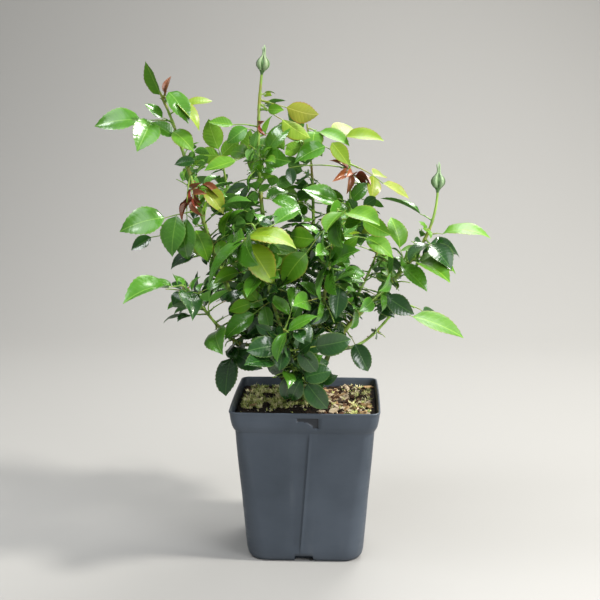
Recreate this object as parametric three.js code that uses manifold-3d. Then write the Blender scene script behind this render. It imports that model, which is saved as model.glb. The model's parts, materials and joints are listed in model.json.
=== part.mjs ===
// A container rose bush in its square nursery pot, built together.
// Millimetres, +Z up. The origin is the centre of the pot's flat underside and
// the front of the pot faces -Y. The bush is a knobbly stem union at soil level,
// bare canes that leave it or fork from one another, and one mass of leaves on
// the end of each cane. Every leaf is placed by a seeded rule.
import * as THREE from 'three';
import { mergeVertices } from 'three/addons/utils/BufferGeometryUtils.js';
import Module from 'manifold-3d';

const wasm = await Module();
wasm.setup();

// Driving dimensions of the pot
const POT_HEIGHT = 225;
const POT_WALL = 2.4;
const POT_FLOOR = 5;
const RIM_HALF = 105;
const CLEARANCE = 0.35;
// heights up the wall, half widths there and corner radii
const POT_PROFILE = [
  [0, 77, 25], [2, 80, 27.5], [6, 82.5, 29], [14, 84, 28.5], [44, 86.3, 26], [97, 90, 22], [155, 94.8, 18],
  [194, 97.2, 15.5], [196, 98.6, 15], [203, 101.4, 14], [213, 103.2, 13], [222, 104.2, 12.5], [POT_HEIGHT, RIM_HALF, 12],
];
const CORNER_STEPS = 3;
const NOTCH = { width: 26, height: 9, depth: 12, x: -1 };
const SLOT = { width: 30, height: 15, depth: 2, x: 5, z: 210 };
const SOIL_LEVEL = 212;

// Driving dimensions of the plant
const UNION = { radius: 19, waist: 16, height: 24 };
const CANE_SIDES = 5;
const CANE_STEPS = 5;
const STEM_STEPS = 8;
const TWIG_SIDES = 3;
const TWIG_RADIUS = 1.6;
const LEAF_WIDTH = 0.72;
const LEAF_FOLD = 0.10;
const LEAF_BEND = 0.10;
const LEAF_THICKNESS = 1.7;
const LEAFLET_SPREAD = 66;
const DIVERGENCE = 144;
const BUD = { height: 21, radius: 8.8, sepals: 10 };

// Each shoot has its foot (a point in the union, or a parent shoot and the
// station where it forks), knee, shoulder and tip, the station where its leaves
// start and stop, its radii, seed and number of leaves set by the rule.
// Its own sprays, set by hand, are [station, bearing, rise, reach, pairs, leaflet, roll].
const SHOOTS = {
  tall_left: {
    foot: [-11, -2, 221], knee: [-110, -20, 380], shoulder: [-155, -40, 525], tip: [-200, -45, 660],
    bare: 0.26, full: 0.80, radius: [4.0, 1.5], seed: 11, leaves: 9,
    sprays: [
      [0.90, -165, 0, 105, 1, 65, -40], [0.95, 180, 65, 60, 1, 50, 20],
      [0.98, -150, -25, 40, 0, 40, -30], [0.97, -15, 75, 35, 0, 25, 60],
      [0.99, -20, -35, 65, 1, 55, -70], [0.80, -60, -5, 55, 1, 45, 20],
      [0.60, -160, -10, 115, 1, 65, -60], [0.70, -75, -50, 60, 2, 30, 20],
      [0.65, -130, -40, 45, 2, 30, -10], [0.75, 135, -5, 55, 1, 45, -20],
      [0.72, -110, -80, 120, 1, 60, -45], [0.50, 95, -60, 85, 2, 50, 0],
    ],
  },
  centre_bud: {
    foot: [-8, 8, 223], knee: [-50, 25, 385], shoulder: [-70, 30, 540], tip: [-65, 25, 695],
    bare: 0.28, full: 0.82, radius: [3.6, 1.6], seed: 23, leaves: 8, bud: true,
    sprays: [
      [0.88, -25, 0, 40, 0, 25, 90], [0.85, -60, -60, 30, 1, 20, 10],
      [0.72, 170, 20, 90, 1, 40, -60], [0.74, -155, -15, 85, 2, 50, -60],
      [0.70, -15, 55, 80, 1, 55, 70], [0.65, 160, -20, 70, 2, 50, -20],
      [0.60, -30, -5, 65, 2, 50, 25], [0.50, -170, -10, 75, 2, 50, -25],
    ],
  },
  right_bud: {
    foot: [11, -4, 221], knee: [65, -35, 340], shoulder: [140, -60, 425], tip: [185, -60, 550],
    bare: 0.26, full: 0.74, radius: [3.8, 1.6], seed: 37, leaves: 7, bud: true,
    sprays: [
      [0.82, -15, 5, 75, 0, 65, 5], [0.80, -60, -25, 60, 1, 55, 40],
      [0.88, -175, 30, 65, 0, 60, 10], [0.70, -60, -10, 70, 1, 65, 45],
      [0.60, -130, 30, 60, 1, 45, -20], [0.50, -40, 5, 80, 1, 45, 25],
      [0.65, 115, 60, 80, 2, 50, -20],
    ],
  },
  upper_right: {
    foot: [9, 9, 223], knee: [45, 35, 330], shoulder: [60, 40, 450], tip: [60, 40, 565],
    bare: 0.26, full: 0.97, radius: [3.4, 1.3], seed: 41, leaves: 8,
    sprays: [
      [0.98, 0, -30, 100, 1, 45, 40], [0.95, -115, -10, 40, 1, 35, -20],
      [0.93, -40, -5, 35, 1, 35, 20], [0.80, -155, 20, 70, 1, 60, -65],
      [0.70, -35, -10, 70, 2, 50, 20], [0.82, 115, 75, 75, 2, 45, -20],
    ],
  },
  low_front: {
    foot: [-5, -13, 220], knee: [-10, -75, 265], shoulder: [-20, -115, 315], tip: [-25, -140, 350],
    bare: 0.22, full: 1, radius: [3.0, 1.2], seed: 71, leaves: 8,
    sprays: [
      [0.75, -145, 0, 50, 2, 45, -20], [0.98, -60, -5, 50, 1, 50, 0],
      [0.50, -15, -50, 75, 1, 45, 20], [0.40, -170, -10, 65, 2, 45, -20],
    ],
  },
  back_left: {
    foot: [-12, 12, 219], knee: [-75, 80, 335], shoulder: [-115, 120, 455], tip: [-135, 125, 565],
    bare: 0.24, full: 1, radius: [3.4, 1.3], seed: 97, leaves: 11,
    sprays: [
      [0.98, -155, 70, 65, 2, 50, -20], [0.90, 160, -15, 55, 2, 50, -20],
    ],
  },
  back_centre: {
    foot: [2, 15, 220], knee: [5, 90, 350], shoulder: [5, 120, 490], tip: [-5, 125, 615],
    bare: 0.26, full: 0.9, radius: [3.6, 1.3], seed: 101, leaves: 11,
    sprays: [
      [0.94, -10, 0, 115, 1, 60, 75], [0.92, -165, 55, 60, 1, 40, -20],
      [0.82, -160, 10, 65, 2, 50, -25], [0.98, -20, -20, 65, 1, 55, 80],
    ],
  },
  front_right: {
    foot: [6, -12, 222], knee: [20, -55, 340], shoulder: [35, -75, 435], tip: [45, -85, 505],
    bare: 0.24, full: 1, radius: [3.4, 1.3], seed: 127, leaves: 9,
    sprays: [
      [0.98, -50, -5, 70, 1, 65, 5], [0.99, -90, -35, 65, 1, 55, 65],
      [0.95, -165, -50, 120, 1, 55, 5], [0.67, -85, -30, 65, 1, 60, 85],
      [0.55, -25, -20, 75, 2, 50, 20], [0.45, -50, -50, 80, 2, 45, 0],
    ],
  },
  low_left: {
    parent: 'tall_left', fork: 0.17,
    knee: [-110, -60, 325], shoulder: [-145, -85, 375], tip: [-170, -95, 400],
    bare: 0.20, full: 1, radius: [2.6, 1.3], seed: 59, leaves: 6,
    sprays: [
      [0.92, -135, 0, 85, 1, 75, -30], [0.96, -65, -20, 60, 1, 55, -65],
      [0.55, 140, 60, 65, 1, 45, -20], [0.45, -80, -20, 55, 2, 55, 0],
      [0.25, -105, -60, 80, 1, 55, -25],
    ],
  },
  low_right: {
    parent: 'right_bud', fork: 0.20,
    knee: [90, 0, 310], shoulder: [125, 10, 345], tip: [155, 0, 355],
    bare: 0.20, full: 1, radius: [2.6, 1.3], seed: 61, leaves: 7,
    sprays: [
      [0.70, -15, -15, 90, 0, 80, 35], [0.60, -55, 15, 60, 1, 45, 20],
      [0.45, -125, -65, 60, 1, 45, 0], [0.25, 20, 0, 50, 2, 40, 20],
    ],
  },
  front_left: {
    parent: 'front_right', fork: 0.19,
    knee: [-30, -70, 330], shoulder: [-55, -95, 430], tip: [-70, -105, 485],
    bare: 0.20, full: 1, radius: [2.8, 1.3], seed: 83, leaves: 7,
    sprays: [
      [0.87, -45, -10, 65, 1, 65, 80], [0.89, -55, -60, 70, 1, 60, 45],
      [0.88, -155, -40, 85, 1, 75, 15], [0.65, -115, -30, 50, 2, 45, 0],
      [0.55, -50, -10, 55, 1, 50, 0], [0.50, -165, -35, 85, 2, 55, -20],
    ],
  },
  low_back: {
    parent: 'back_centre', fork: 0.14,
    knee: [-35, 95, 270], shoulder: [-50, 145, 315], tip: [-60, 175, 355],
    bare: 0.22, full: 1, radius: [2.6, 1.2], seed: 113, leaves: 8, sprays: [],
  },
  back_right: {
    parent: 'back_centre', fork: 0.21,
    knee: [60, 105, 335], shoulder: [95, 130, 395], tip: [120, 135, 455],
    bare: 0.20, full: 1, radius: [2.6, 1.3], seed: 131, leaves: 9, sprays: [],
  },
};

const UP = new THREE.Vector3(0, 0, 1);
const radians = THREE.MathUtils.degToRad;

// A repeatable stream of numbers between 0 and 1
class Dice {
  constructor(seed) {
    this.state = seed;
  }

  next() {
    this.state = (this.state * 16807) % 2147483647;
    return this.state / 2147483647;
  }

  around(middle, spread) {
    return middle + spread * (2 * this.next() - 1);
  }
}

// Closed bodies

function bodyOf(points, faces) {
  const geometry = new THREE.BufferGeometry();
  geometry.setAttribute('position', new THREE.Float32BufferAttribute(points.flatMap((p) => p.toArray()), 3));
  geometry.setIndex(faces.flat());
  return geometry;
}

// A skin over rings of equal point counts, which turn left seen from the end
function loft(rings) {
  const count = rings[0].length;
  const points = rings.flat();
  const faces = [];
  for (let level = 0; level + 1 < rings.length; level += 1) {
    for (let i = 0; i < count; i += 1) {
      const a = level * count + i;
      const b = level * count + ((i + 1) % count);
      faces.push([a, b, b + count], [a, b + count, a + count]);
    }
  }
  const top = (rings.length - 1) * count;
  for (let i = 1; i + 1 < count; i += 1) {
    faces.push([0, i + 1, i], [top, top + i, top + i + 1]);
  }
  return bodyOf(points, faces);
}

function solidOf(geometry) {
  const bare = geometry.clone();
  bare.deleteAttribute('normal');
  bare.deleteAttribute('uv');
  const merged = mergeVertices(bare, 1e-4);
  return new wasm.Manifold(new wasm.Mesh({
    numProp: 3,
    vertProperties: new Float32Array(merged.attributes.position.array),
    triVerts: new Uint32Array(merged.index.array),
  }));
}

function geometryOf(solid) {
  const mesh = solid.getMesh();
  const geometry = new THREE.BufferGeometry();
  geometry.setAttribute('position', new THREE.Float32BufferAttribute(mesh.vertProperties, 3));
  geometry.setIndex([...mesh.triVerts]);
  return geometry;
}

// Joins solids two by two, so that no join is between very unequal bodies
function joinAll(solids) {
  let row = solids;
  while (row.length > 1) {
    const next = [];
    for (let i = 0; i < row.length; i += 2) {
      next.push(i + 1 < row.length ? row[i].add(row[i + 1]) : row[i]);
    }
    row = next;
  }
  return row[0];
}

// Keeps the one main body, without the scraps and sealed pockets that fusing leaves
function mainBody(solid) {
  return solid.decompose().reduce((best, piece) => (piece.volume() > best.volume() ? piece : best));
}

// Draws vertices that fusing left closer than a hundredth of a millimetre into
// one and drops the faces that close up, also where two fold onto each other
function welded(solid) {
  const mesh = solid.getMesh();
  const numbers = new Map();
  const points = [];
  const number = (index) => {
    const place = [0, 1, 2].map((axis) => Math.round(mesh.vertProperties[index * mesh.numProp + axis] * 100));
    const key = place.join();
    if (!numbers.has(key)) {
      numbers.set(key, points.length);
      points.push(new THREE.Vector3(...place).divideScalar(100));
    }
    return numbers.get(key);
  };
  const faces = new Map();
  for (let i = 0; i < mesh.triVerts.length; i += 3) {
    const face = [0, 1, 2].map((corner) => number(mesh.triVerts[i + corner]));
    if (face[0] === face[1] || face[1] === face[2] || face[0] === face[2]) continue;
    const key = [...face].sort((a, b) => a - b).join();
    if (faces.has(key)) faces.delete(key);
    else faces.set(key, face);
  }
  return mainBody(solidOf(bodyOf(points, [...faces.values()])));
}

function box(width, depth, height, x, y, z) {
  const geometry = new THREE.BoxGeometry(width, depth, height);
  geometry.translate(x, y, z);
  return solidOf(geometry);
}

// The pot and its compost

function squareRing(half, corner, z) {
  const ring = [];
  for (let quarter = 0; quarter < 4; quarter += 1) {
    for (let step = 0; step <= CORNER_STEPS; step += 1) {
      const angle = radians(90 * (quarter + step / CORNER_STEPS));
      const middle = radians(90 * quarter + 45);
      const reach = (half - corner) * Math.SQRT2;
      ring.push(new THREE.Vector3(
        Math.cos(middle) * reach + Math.cos(angle) * corner,
        Math.sin(middle) * reach + Math.sin(angle) * corner,
        z,
      ));
    }
  }
  return ring;
}

function wallAt(z) {
  const upper = POT_PROFILE.findIndex(([height]) => height >= z);
  if (upper <= 0) return POT_PROFILE[0].slice(1);
  const [z0, half0, corner0] = POT_PROFILE[upper - 1];
  const [z1, half1, corner1] = POT_PROFILE[upper];
  const share = (z - z0) / (z1 - z0);
  return [half0 + (half1 - half0) * share, corner0 + (corner1 - corner0) * share];
}

// The space inside the wall, drawn in by an inset, between two heights
function innerSpace(inset, bottom, top) {
  const heights = [bottom, ...POT_PROFILE.map(([z]) => z).filter((z) => z > bottom + 1 && z < top - 1), top];
  return solidOf(loft(heights.map((z) => {
    const [half, corner] = wallAt(Math.min(z, POT_HEIGHT));
    return squareRing(half - inset, Math.max(corner - inset, 4), z);
  })));
}

// Blocks that the floor notches and the label slot push into the pot
function dents(grow) {
  const blocks = [];
  for (let side = 0; side < 4; side += 1) {
    const turned = new THREE.BoxGeometry(
      NOTCH.width + 2 * grow, NOTCH.depth * 2 + 2 * grow, NOTCH.height * 2 + 2 * grow,
    );
    turned.translate(NOTCH.x, -80, 0);
    turned.rotateZ(radians(90 * side));
    blocks.push(solidOf(turned));
  }
  return joinAll(blocks);
}

function slotBlock(grow) {
  const [half] = wallAt(SLOT.z + SLOT.height / 2);
  const depth = 24;
  const face = -(half - SLOT.depth - grow - 3.5);
  return box(SLOT.width + 2 * grow, depth, SLOT.height + 2 * grow, SLOT.x, face - depth / 2, SLOT.z);
}

function makePot() {
  const outside = solidOf(loft(POT_PROFILE.map(([z, half, corner]) => squareRing(half, corner, z))));
  const cavity = innerSpace(POT_WALL, POT_FLOOR, POT_HEIGHT + 4)
    .subtract(dents(POT_WALL))
    .subtract(slotBlock(POT_WALL));
  return geometryOf(outside.subtract(cavity).subtract(dents(0)).subtract(slotBlock(0)));
}

function makeCompost() {
  const fill = innerSpace(POT_WALL + CLEARANCE, POT_FLOOR + CLEARANCE, SOIL_LEVEL)
    .subtract(dents(POT_WALL + CLEARANCE))
    .subtract(slotBlock(POT_WALL + CLEARANCE));
  return geometryOf(mainBody(fill));
}

// The stem union: a squat, knobbly stock with a flat cut at soil level
function makeUnion() {
  const z = SOIL_LEVEL + CLEARANCE;
  const { radius, waist, height } = UNION;
  const profile = [
    [0, 0], [radius, 0], [waist, 0.25], [radius * 0.95, 0.5], [radius * 0.72, 0.82], [radius * 0.36, 1], [0, 1],
  ].map(([r, share]) => new THREE.Vector2(r, share * height));
  const geometry = new THREE.LatheGeometry(profile, 12);
  geometry.rotateX(Math.PI / 2);
  geometry.translate(0, 0, z);
  return geometry;
}

// Stems

// A smooth curve that passes foot, knee, shoulder and tip at equal stations
function along(points, t) {
  const weights = [
    ((1 - 3 * t) * (2 - 3 * t) * (1 - t)) / 2,
    4.5 * t * (2 - 3 * t) * (1 - t),
    4.5 * t * (3 * t - 1) * (1 - t),
    (t * (3 * t - 1) * (3 * t - 2)) / 2,
  ];
  return points.reduce((sum, p, i) => sum.addScaledVector(p, weights[i]), new THREE.Vector3());
}

function heading(points, t) {
  return along(points, t + 0.01).sub(along(points, t - 0.01)).normalize();
}

function sectionRing(centre, direction, radius, sides) {
  const across = new THREE.Vector3().crossVectors(direction, Math.abs(direction.z) < 0.9 ? UP : new THREE.Vector3(0, 1, 0))
    .normalize();
  const over = new THREE.Vector3().crossVectors(direction, across);
  return Array.from({ length: sides }, (_, i) => {
    const angle = (i * 2 * Math.PI) / sides;
    return centre.clone().addScaledVector(across, radius * Math.cos(angle)).addScaledVector(over, radius * Math.sin(angle));
  });
}

// Rings of a shoot between two stations, tapering with its radii
function stemRings(shoot, from, to, steps, sides) {
  return Array.from({ length: steps + 1 }, (_, i) => {
    const t = from + ((to - from) * i) / steps;
    const [thick, thin] = shoot.radius;
    return sectionRing(along(shoot.path, t), heading(shoot.path, t), thick + (thin - thick) * t, sides);
  });
}

// Room: convex pieces that new growth has to keep clear of

function centreOf(points) {
  const bounds = new THREE.Box3().setFromPoints(points);
  return bounds.getCenter(new THREE.Vector3());
}

function furthest(points, direction) {
  return points.reduce((best, p) => (p.dot(direction) > best.dot(direction) ? p : best));
}

// True when two convex pieces are surely further apart than the gap
function apart(first, second, gap) {
  const away = centreOf(first.points).sub(centreOf(second.points));
  for (let i = 0; i < 60; i += 1) {
    const length = away.length();
    if (length < 1e-6) return false;
    const back = away.clone().negate();
    const corner = furthest(first.points, back).clone().sub(furthest(second.points, away));
    if (corner.dot(away) / length > gap) return true;
    if (length * length - corner.dot(away) < 1e-3 * length * length) return false;
    const edge = away.clone().sub(corner);
    const share = THREE.MathUtils.clamp(away.dot(edge) / edge.lengthSq(), 0, 1);
    away.addScaledVector(edge, -share);
  }
  return false;
}

class Room {
  constructor() {
    this.pieces = [];
  }

  static piece(points, owner, leaf) {
    const centre = centreOf(points);
    const radius = Math.max(...points.map((p) => p.distanceTo(centre)));
    return { points, owner, leaf, centre, radius };
  }

  add(piece) {
    this.pieces.push(piece);
  }

  // Whether a piece is clear of all but its own leaf and, for a twig, its own stem
  isFree(piece, mayTouchStem) {
    return this.pieces.every((other) => {
      if (other.owner === piece.owner) {
        if (other.leaf === piece.leaf || (mayTouchStem && other.leaf === 'stem')) return true;
      }
      if (other.centre.distanceTo(piece.centre) > other.radius + piece.radius + CLEARANCE) return true;
      return apart(piece, other, CLEARANCE);
    });
  }
}

const room = new Room();

function addRings(rings, owner, leaf) {
  for (let i = 0; i + 1 < rings.length; i += 1) {
    room.add(Room.piece([...rings[i], ...rings[i + 1]], owner, leaf));
  }
}

// Leaves

// One leaflet: base, tip and the two points of its widest place, folded up a
// little along the midrib, with a thin ridge over and under the midrib
function leafletPoints({ base, ahead, normal, length }) {
  const across = new THREE.Vector3().crossVectors(ahead, normal);
  const at = (x, y, z) => base.clone()
    .addScaledVector(ahead, x * length).addScaledVector(across, y * length).addScaledVector(normal, z * length);
  const wide = LEAF_WIDTH / 2;
  const lift = LEAF_FOLD * LEAF_WIDTH;
  const edge = [at(0, 0, 0), at(0.44, -wide, lift), at(1, 0, -LEAF_BEND), at(0.44, wide, lift)];
  const middle = at(0.13, 0, 0);
  const half = LEAF_THICKNESS / 2;
  return [...edge, middle.clone().addScaledVector(normal, half), middle.clone().addScaledVector(normal, -half)];
}

function leafletGeometry(points) {
  const faces = [];
  for (let i = 0; i < 4; i += 1) {
    faces.push([4, (i + 1) % 4, i], [5, i, (i + 1) % 4]);
  }
  return bodyOf(points, faces);
}

// One compound leaf: a straight stalk with pairs of leaflets and one at its end,
// whose faces turn up and outward from the middle of the bush
function compoundLeaf(shoot, [station, bearing, rise, reach, pairs, leaflet, roll]) {
  const foot = along(shoot.path, station);
  const turn = radians(bearing);
  const lift = radians(rise);
  const ahead = new THREE.Vector3(
    Math.cos(turn) * Math.cos(lift), Math.sin(turn) * Math.cos(lift), Math.sin(lift),
  );
  const stalk = Math.max(reach - leaflet * 0.97, 0.3 * reach);
  const at = (distance) => foot.clone().addScaledVector(ahead, distance);
  const end = at(stalk);
  const lean = new THREE.Vector3(end.x, end.y, 0).normalize().multiplyScalar(0.78).addScaledVector(UP, 0.62);
  let up = lean.addScaledVector(ahead, -lean.dot(ahead));
  if (up.length() < 0.2) up = UP.clone().addScaledVector(ahead, -ahead.z);
  up.normalize();
  const level = new THREE.Vector3().crossVectors(ahead, up);
  const normal = up.multiplyScalar(Math.cos(radians(roll))).addScaledVector(level, Math.sin(radians(roll)));
  const side = new THREE.Vector3().crossVectors(ahead, normal);

  const twig = [0, 1].map((share) => (
    sectionRing(at(share * stalk), ahead, TWIG_RADIUS * (1 - 0.35 * share), TWIG_SIDES)
  ));
  const shares = [[], [0.66], [0.40, 0.80]][pairs];
  const leaflets = [];
  shares.forEach((share, index) => {
    for (const hand of [-1, 1]) {
      const out = ahead.clone().multiplyScalar(Math.cos(radians(LEAFLET_SPREAD)))
        .addScaledVector(side, hand * Math.sin(radians(LEAFLET_SPREAD))).addScaledVector(normal, -0.10).normalize();
      const face = normal.clone().addScaledVector(out, -normal.dot(out)).normalize();
      const length = leaflet * (index === 0 && pairs > 1 ? 0.80 : 0.90);
      leaflets.push({ base: at(share * stalk).addScaledVector(out, 0.15), ahead: out, normal: face, length });
    }
  });
  leaflets.push({ base: at(stalk - 1.2), ahead, normal, length: leaflet });
  return { twig, leaflets };
}

// The leaves that the rule sets up a shoot, two fifths of a turn apart, shorter
// and rising more towards its tip
function ruledSprays(shoot) {
  const dice = new Dice(shoot.seed * 7919);
  const start = dice.next() * 360;
  return Array.from({ length: shoot.leaves }, (_, i) => {
    const t = shoot.bare + 0.02 + ((shoot.full - 0.02 - shoot.bare) * (i + 0.5)) / shoot.leaves;
    const bearing = start + DIVERGENCE * i + dice.around(0, 14);
    const rise = dice.around(4 + 30 * t, 18);
    const reach = dice.around(108 - 26 * t, 12);
    const pairs = dice.next() < 0.75 ? 2 : 1;
    const leaflet = dice.around(52 - 8 * t, 5);
    return [t, bearing, rise, reach, pairs, leaflet, dice.around(0, 38)];
  });
}

// A closed flower bud with its sepals drawn together to a point
function budGeometry(shoot) {
  const { height, radius, sepals } = BUD;
  const profile = [
    [0, -5], [2.4, -5], [3.0, 0], [radius * 0.66, 3], [radius, 0.36 * height], [radius * 0.78, 0.68 * height],
    [radius * 0.34, 0.94 * height], [1.1, height + 0.4 * sepals], [0, height + sepals],
  ].map(([r, y]) => new THREE.Vector2(r, y));
  const geometry = new THREE.LatheGeometry(profile, 8);
  const turn = new THREE.Quaternion().setFromUnitVectors(new THREE.Vector3(0, 1, 0), heading(shoot.path, 0.99));
  geometry.applyQuaternion(turn);
  const tip = along(shoot.path, 1);
  geometry.translate(tip.x, tip.y, tip.z);
  return geometry;
}

// Growing the bush

const group = new THREE.Group();
group.name = 'rose_bush';

function addNode(name, geometry, colour, roughness) {
  const shown = geometry.clone();
  shown.computeVertexNormals();
  const mesh = new THREE.Mesh(shown, new THREE.MeshStandardMaterial({ color: colour, roughness, metalness: 0 }));
  mesh.name = name;
  group.add(mesh);
}

addNode('pot', makePot(), 0x4c555e, 0.45);
addNode('compost', makeCompost(), 0x2e261f, 0.95);
addNode('stem_union', makeUnion(), 0x6b5a3f, 0.85);
const unionPoints = [];
{
  const position = makeUnion().attributes.position;
  for (let i = 0; i < position.count; i += 1) unionPoints.push(new THREE.Vector3().fromBufferAttribute(position, i));
}
room.add(Room.piece(unionPoints, 'stem_union', 'stem'));

// How far a shoot runs per unit of station near a station
function pace(shoot, t) {
  return along(shoot.path, t + 0.01).distanceTo(along(shoot.path, t)) / 0.01;
}

// The station where a cane comes out of the body that carries it, with its gap
function seatOf(shoot, carrier) {
  const sunk = (t) => solidOf(loft(stemRings(shoot, t, t + 0.05, 2, CANE_SIDES))).intersect(carrier).volume() > 1e-4;
  let start = 0;
  while (sunk(start)) start += 0.0005;
  return start + (1.2 * CLEARANCE) / pace(shoot, start);
}

// Canes first, each seated on the union or on the cane it forks from
const unionSolid = solidOf(makeUnion());
for (const [name, shoot] of Object.entries(SHOOTS)) {
  const parent = SHOOTS[shoot.parent];
  const foot = parent ? along(parent.path, shoot.fork) : new THREE.Vector3(...shoot.foot);
  shoot.path = [foot, ...[shoot.knee, shoot.shoulder, shoot.tip].map((p) => new THREE.Vector3(...p))];
  const start = seatOf(shoot, parent ? parent.caneSolid : unionSolid);
  const rings = stemRings(shoot, start, shoot.bare, CANE_STEPS, CANE_SIDES);
  shoot.caneSolid = solidOf(loft(rings));
  addRings(rings, `${name}_cane`, 'stem');
  addNode(`${name}_cane`, loft(rings), 0x5d7a3a, 0.6);
}

// Then the stem of each mass, 0.35 mm above its cane
for (const [name, shoot] of Object.entries(SHOOTS)) {
  shoot.stem = stemRings(shoot, shoot.bare + CLEARANCE / pace(shoot, shoot.bare), 1, STEM_STEPS, TWIG_SIDES);
  addRings(shoot.stem, name, 'stem');
}

// Then the leaves, each kept only where it has room
for (const [name, shoot] of Object.entries(SHOOTS)) {
  const pieces = [solidOf(loft(shoot.stem))];
  if (shoot.bud) pieces.push(solidOf(budGeometry(shoot)));
  const sprays = [...shoot.sprays, ...ruledSprays(shoot)];
  sprays.forEach((spray, index) => {
    const { twig, leaflets } = compoundLeaf(shoot, spray);
    const twigPiece = Room.piece(twig.flat(), name, index);
    if (!room.isFree(twigPiece, true)) return;
    const kept = [];
    for (const points of leaflets.map(leafletPoints)) {
      const piece = Room.piece(points, name, index);
      if (room.isFree(piece, false) && kept.every((other) => apart(piece, other, 0.02))) kept.push(piece);
    }
    if (kept.length === 0 || (index >= shoot.sprays.length && kept.length < 2)) return;
    room.add(twigPiece);
    pieces.push(solidOf(loft(twig)));
    kept.forEach((piece) => {
      room.add(piece);
      pieces.push(solidOf(leafletGeometry(piece.points)));
    });
  });
  addNode(`${name}_leaves`, geometryOf(welded(mainBody(joinAll(pieces)))), 0x4a7a35, 0.5);
}

export default group;
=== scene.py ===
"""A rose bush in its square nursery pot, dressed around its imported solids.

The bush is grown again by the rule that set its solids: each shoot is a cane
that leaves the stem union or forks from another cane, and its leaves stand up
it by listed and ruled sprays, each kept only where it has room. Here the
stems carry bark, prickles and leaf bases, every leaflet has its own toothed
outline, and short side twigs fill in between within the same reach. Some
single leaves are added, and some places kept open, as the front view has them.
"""

import json
import logging
import math
from dataclasses import dataclass, field
from enum import Enum, IntEnum
from typing import Callable, Iterable, Sequence

import bpy
import numpy as np
from mathutils import Matrix, Vector, noise

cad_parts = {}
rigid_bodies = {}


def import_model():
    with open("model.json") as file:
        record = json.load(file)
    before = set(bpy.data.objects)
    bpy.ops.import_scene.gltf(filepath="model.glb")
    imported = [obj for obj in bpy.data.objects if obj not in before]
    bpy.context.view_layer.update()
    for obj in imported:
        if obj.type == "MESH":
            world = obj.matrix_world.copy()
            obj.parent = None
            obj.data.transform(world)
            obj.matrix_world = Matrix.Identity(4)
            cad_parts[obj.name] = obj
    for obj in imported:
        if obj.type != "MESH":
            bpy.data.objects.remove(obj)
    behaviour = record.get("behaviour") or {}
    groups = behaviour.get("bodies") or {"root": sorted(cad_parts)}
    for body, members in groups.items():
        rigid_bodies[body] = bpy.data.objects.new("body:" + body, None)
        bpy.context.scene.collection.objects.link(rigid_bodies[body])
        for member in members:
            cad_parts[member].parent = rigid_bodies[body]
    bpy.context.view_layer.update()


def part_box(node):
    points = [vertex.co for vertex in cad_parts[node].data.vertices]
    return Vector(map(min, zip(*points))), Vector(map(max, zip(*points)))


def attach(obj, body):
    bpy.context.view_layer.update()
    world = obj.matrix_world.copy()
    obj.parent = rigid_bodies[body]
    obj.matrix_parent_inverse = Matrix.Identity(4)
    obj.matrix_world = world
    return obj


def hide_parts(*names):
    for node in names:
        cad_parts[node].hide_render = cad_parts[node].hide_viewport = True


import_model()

LOG = logging.getLogger("rose_bush")
MM = 0.001
UP = np.array([0.0, 0.0, 1.0])
BODY = "root"
Array = np.ndarray


# Plain helpers


def unit(vector: Array) -> Array:
    """Scale a vector to length one."""
    return vector / np.linalg.norm(vector)


def linear(red: float, green: float, blue: float) -> tuple[float, float, float, float]:
    """Turn an 8-bit display colour into the linear colour that shaders take.

    Args:
        red: Red from 0 to 255.
        green: Green from 0 to 255.
        blue: Blue from 0 to 255.

    Returns:
        The linear colour with an opaque alpha.
    """
    parts = [value / 255 for value in (red, green, blue)]
    return (*[p / 12.92 if p <= 0.04045 else ((p + 0.055) / 1.055) ** 2.4 for p in parts], 1.0)


def inks(*colours: tuple) -> list:
    """Turn display colours, each of red, green and blue, into linear ones."""
    return [linear(*colour) for colour in colours]


def round_angles(count: int) -> list:
    """Give the angles of points spread evenly round a circle."""
    return [2 * math.pi * i / count for i in range(count)]


def smooth(low: float, high: float, value: float) -> float:
    """Rise from 0 at low to 1 at high with flat ends."""
    share = min(max((value - low) / (high - low), 0.0), 1.0)
    return share * share * (3 - 2 * share)


class Dice:
    """A repeatable stream of numbers between 0 and 1."""

    FACTOR = 16807
    WHEEL = 2147483647

    def __init__(self, seed: int) -> None:
        """Start the stream at a seed."""
        self.state = seed

    def next(self) -> float:
        """Give the next number between 0 and 1."""
        self.state = self.state * self.FACTOR % self.WHEEL
        return self.state / self.WHEEL

    def around(self, middle: float, spread: float) -> float:
        """Give a number within a spread of a middle value."""
        return middle + spread * (2 * self.next() - 1)


class Stream(IntEnum):
    """Factors that give each use of a shoot's seed its own stream of numbers."""

    LEAVES = 7919
    TWIGS = 6151
    TINTS = 104729
    FILLING = 3571
    BLADES = 15485863
    PRICKLES = 2221


@dataclass
class Shell:
    """One closed mesh in the making, in millimetres unless a maker says otherwise."""

    points: list = field(default_factory=list)
    faces: list = field(default_factory=list)
    marks: list = field(default_factory=list)

    def add(self, points: Iterable, faces: Iterable, mark: int = 0) -> None:
        """Append points and faces.

        Args:
            points: Corner positions.
            faces: Tuples that number the new points from 0.
            mark: Material number of the new faces.
        """
        first = len(self.points)
        self.points.extend([tuple(map(float, p)) for p in points])
        new = [tuple(first + i for i in face) for face in faces]
        self.faces.extend(new)
        self.marks.extend([mark] * len(new))

    def mesh(self, name: str, scale: float = MM) -> bpy.types.Mesh:
        """Build the mesh with smooth faces.

        Args:
            name: Name of the mesh.
            scale: Metres in one unit of the points.

        Returns:
            The finished mesh.
        """
        mesh = bpy.data.meshes.new(name)
        mesh.from_pydata((np.array(self.points) * scale).tolist(), [], self.faces)
        mesh.polygons.foreach_set("material_index", self.marks)
        mesh.polygons.foreach_set("use_smooth", [True] * len(self.faces))
        mesh.update()
        return mesh


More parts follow.
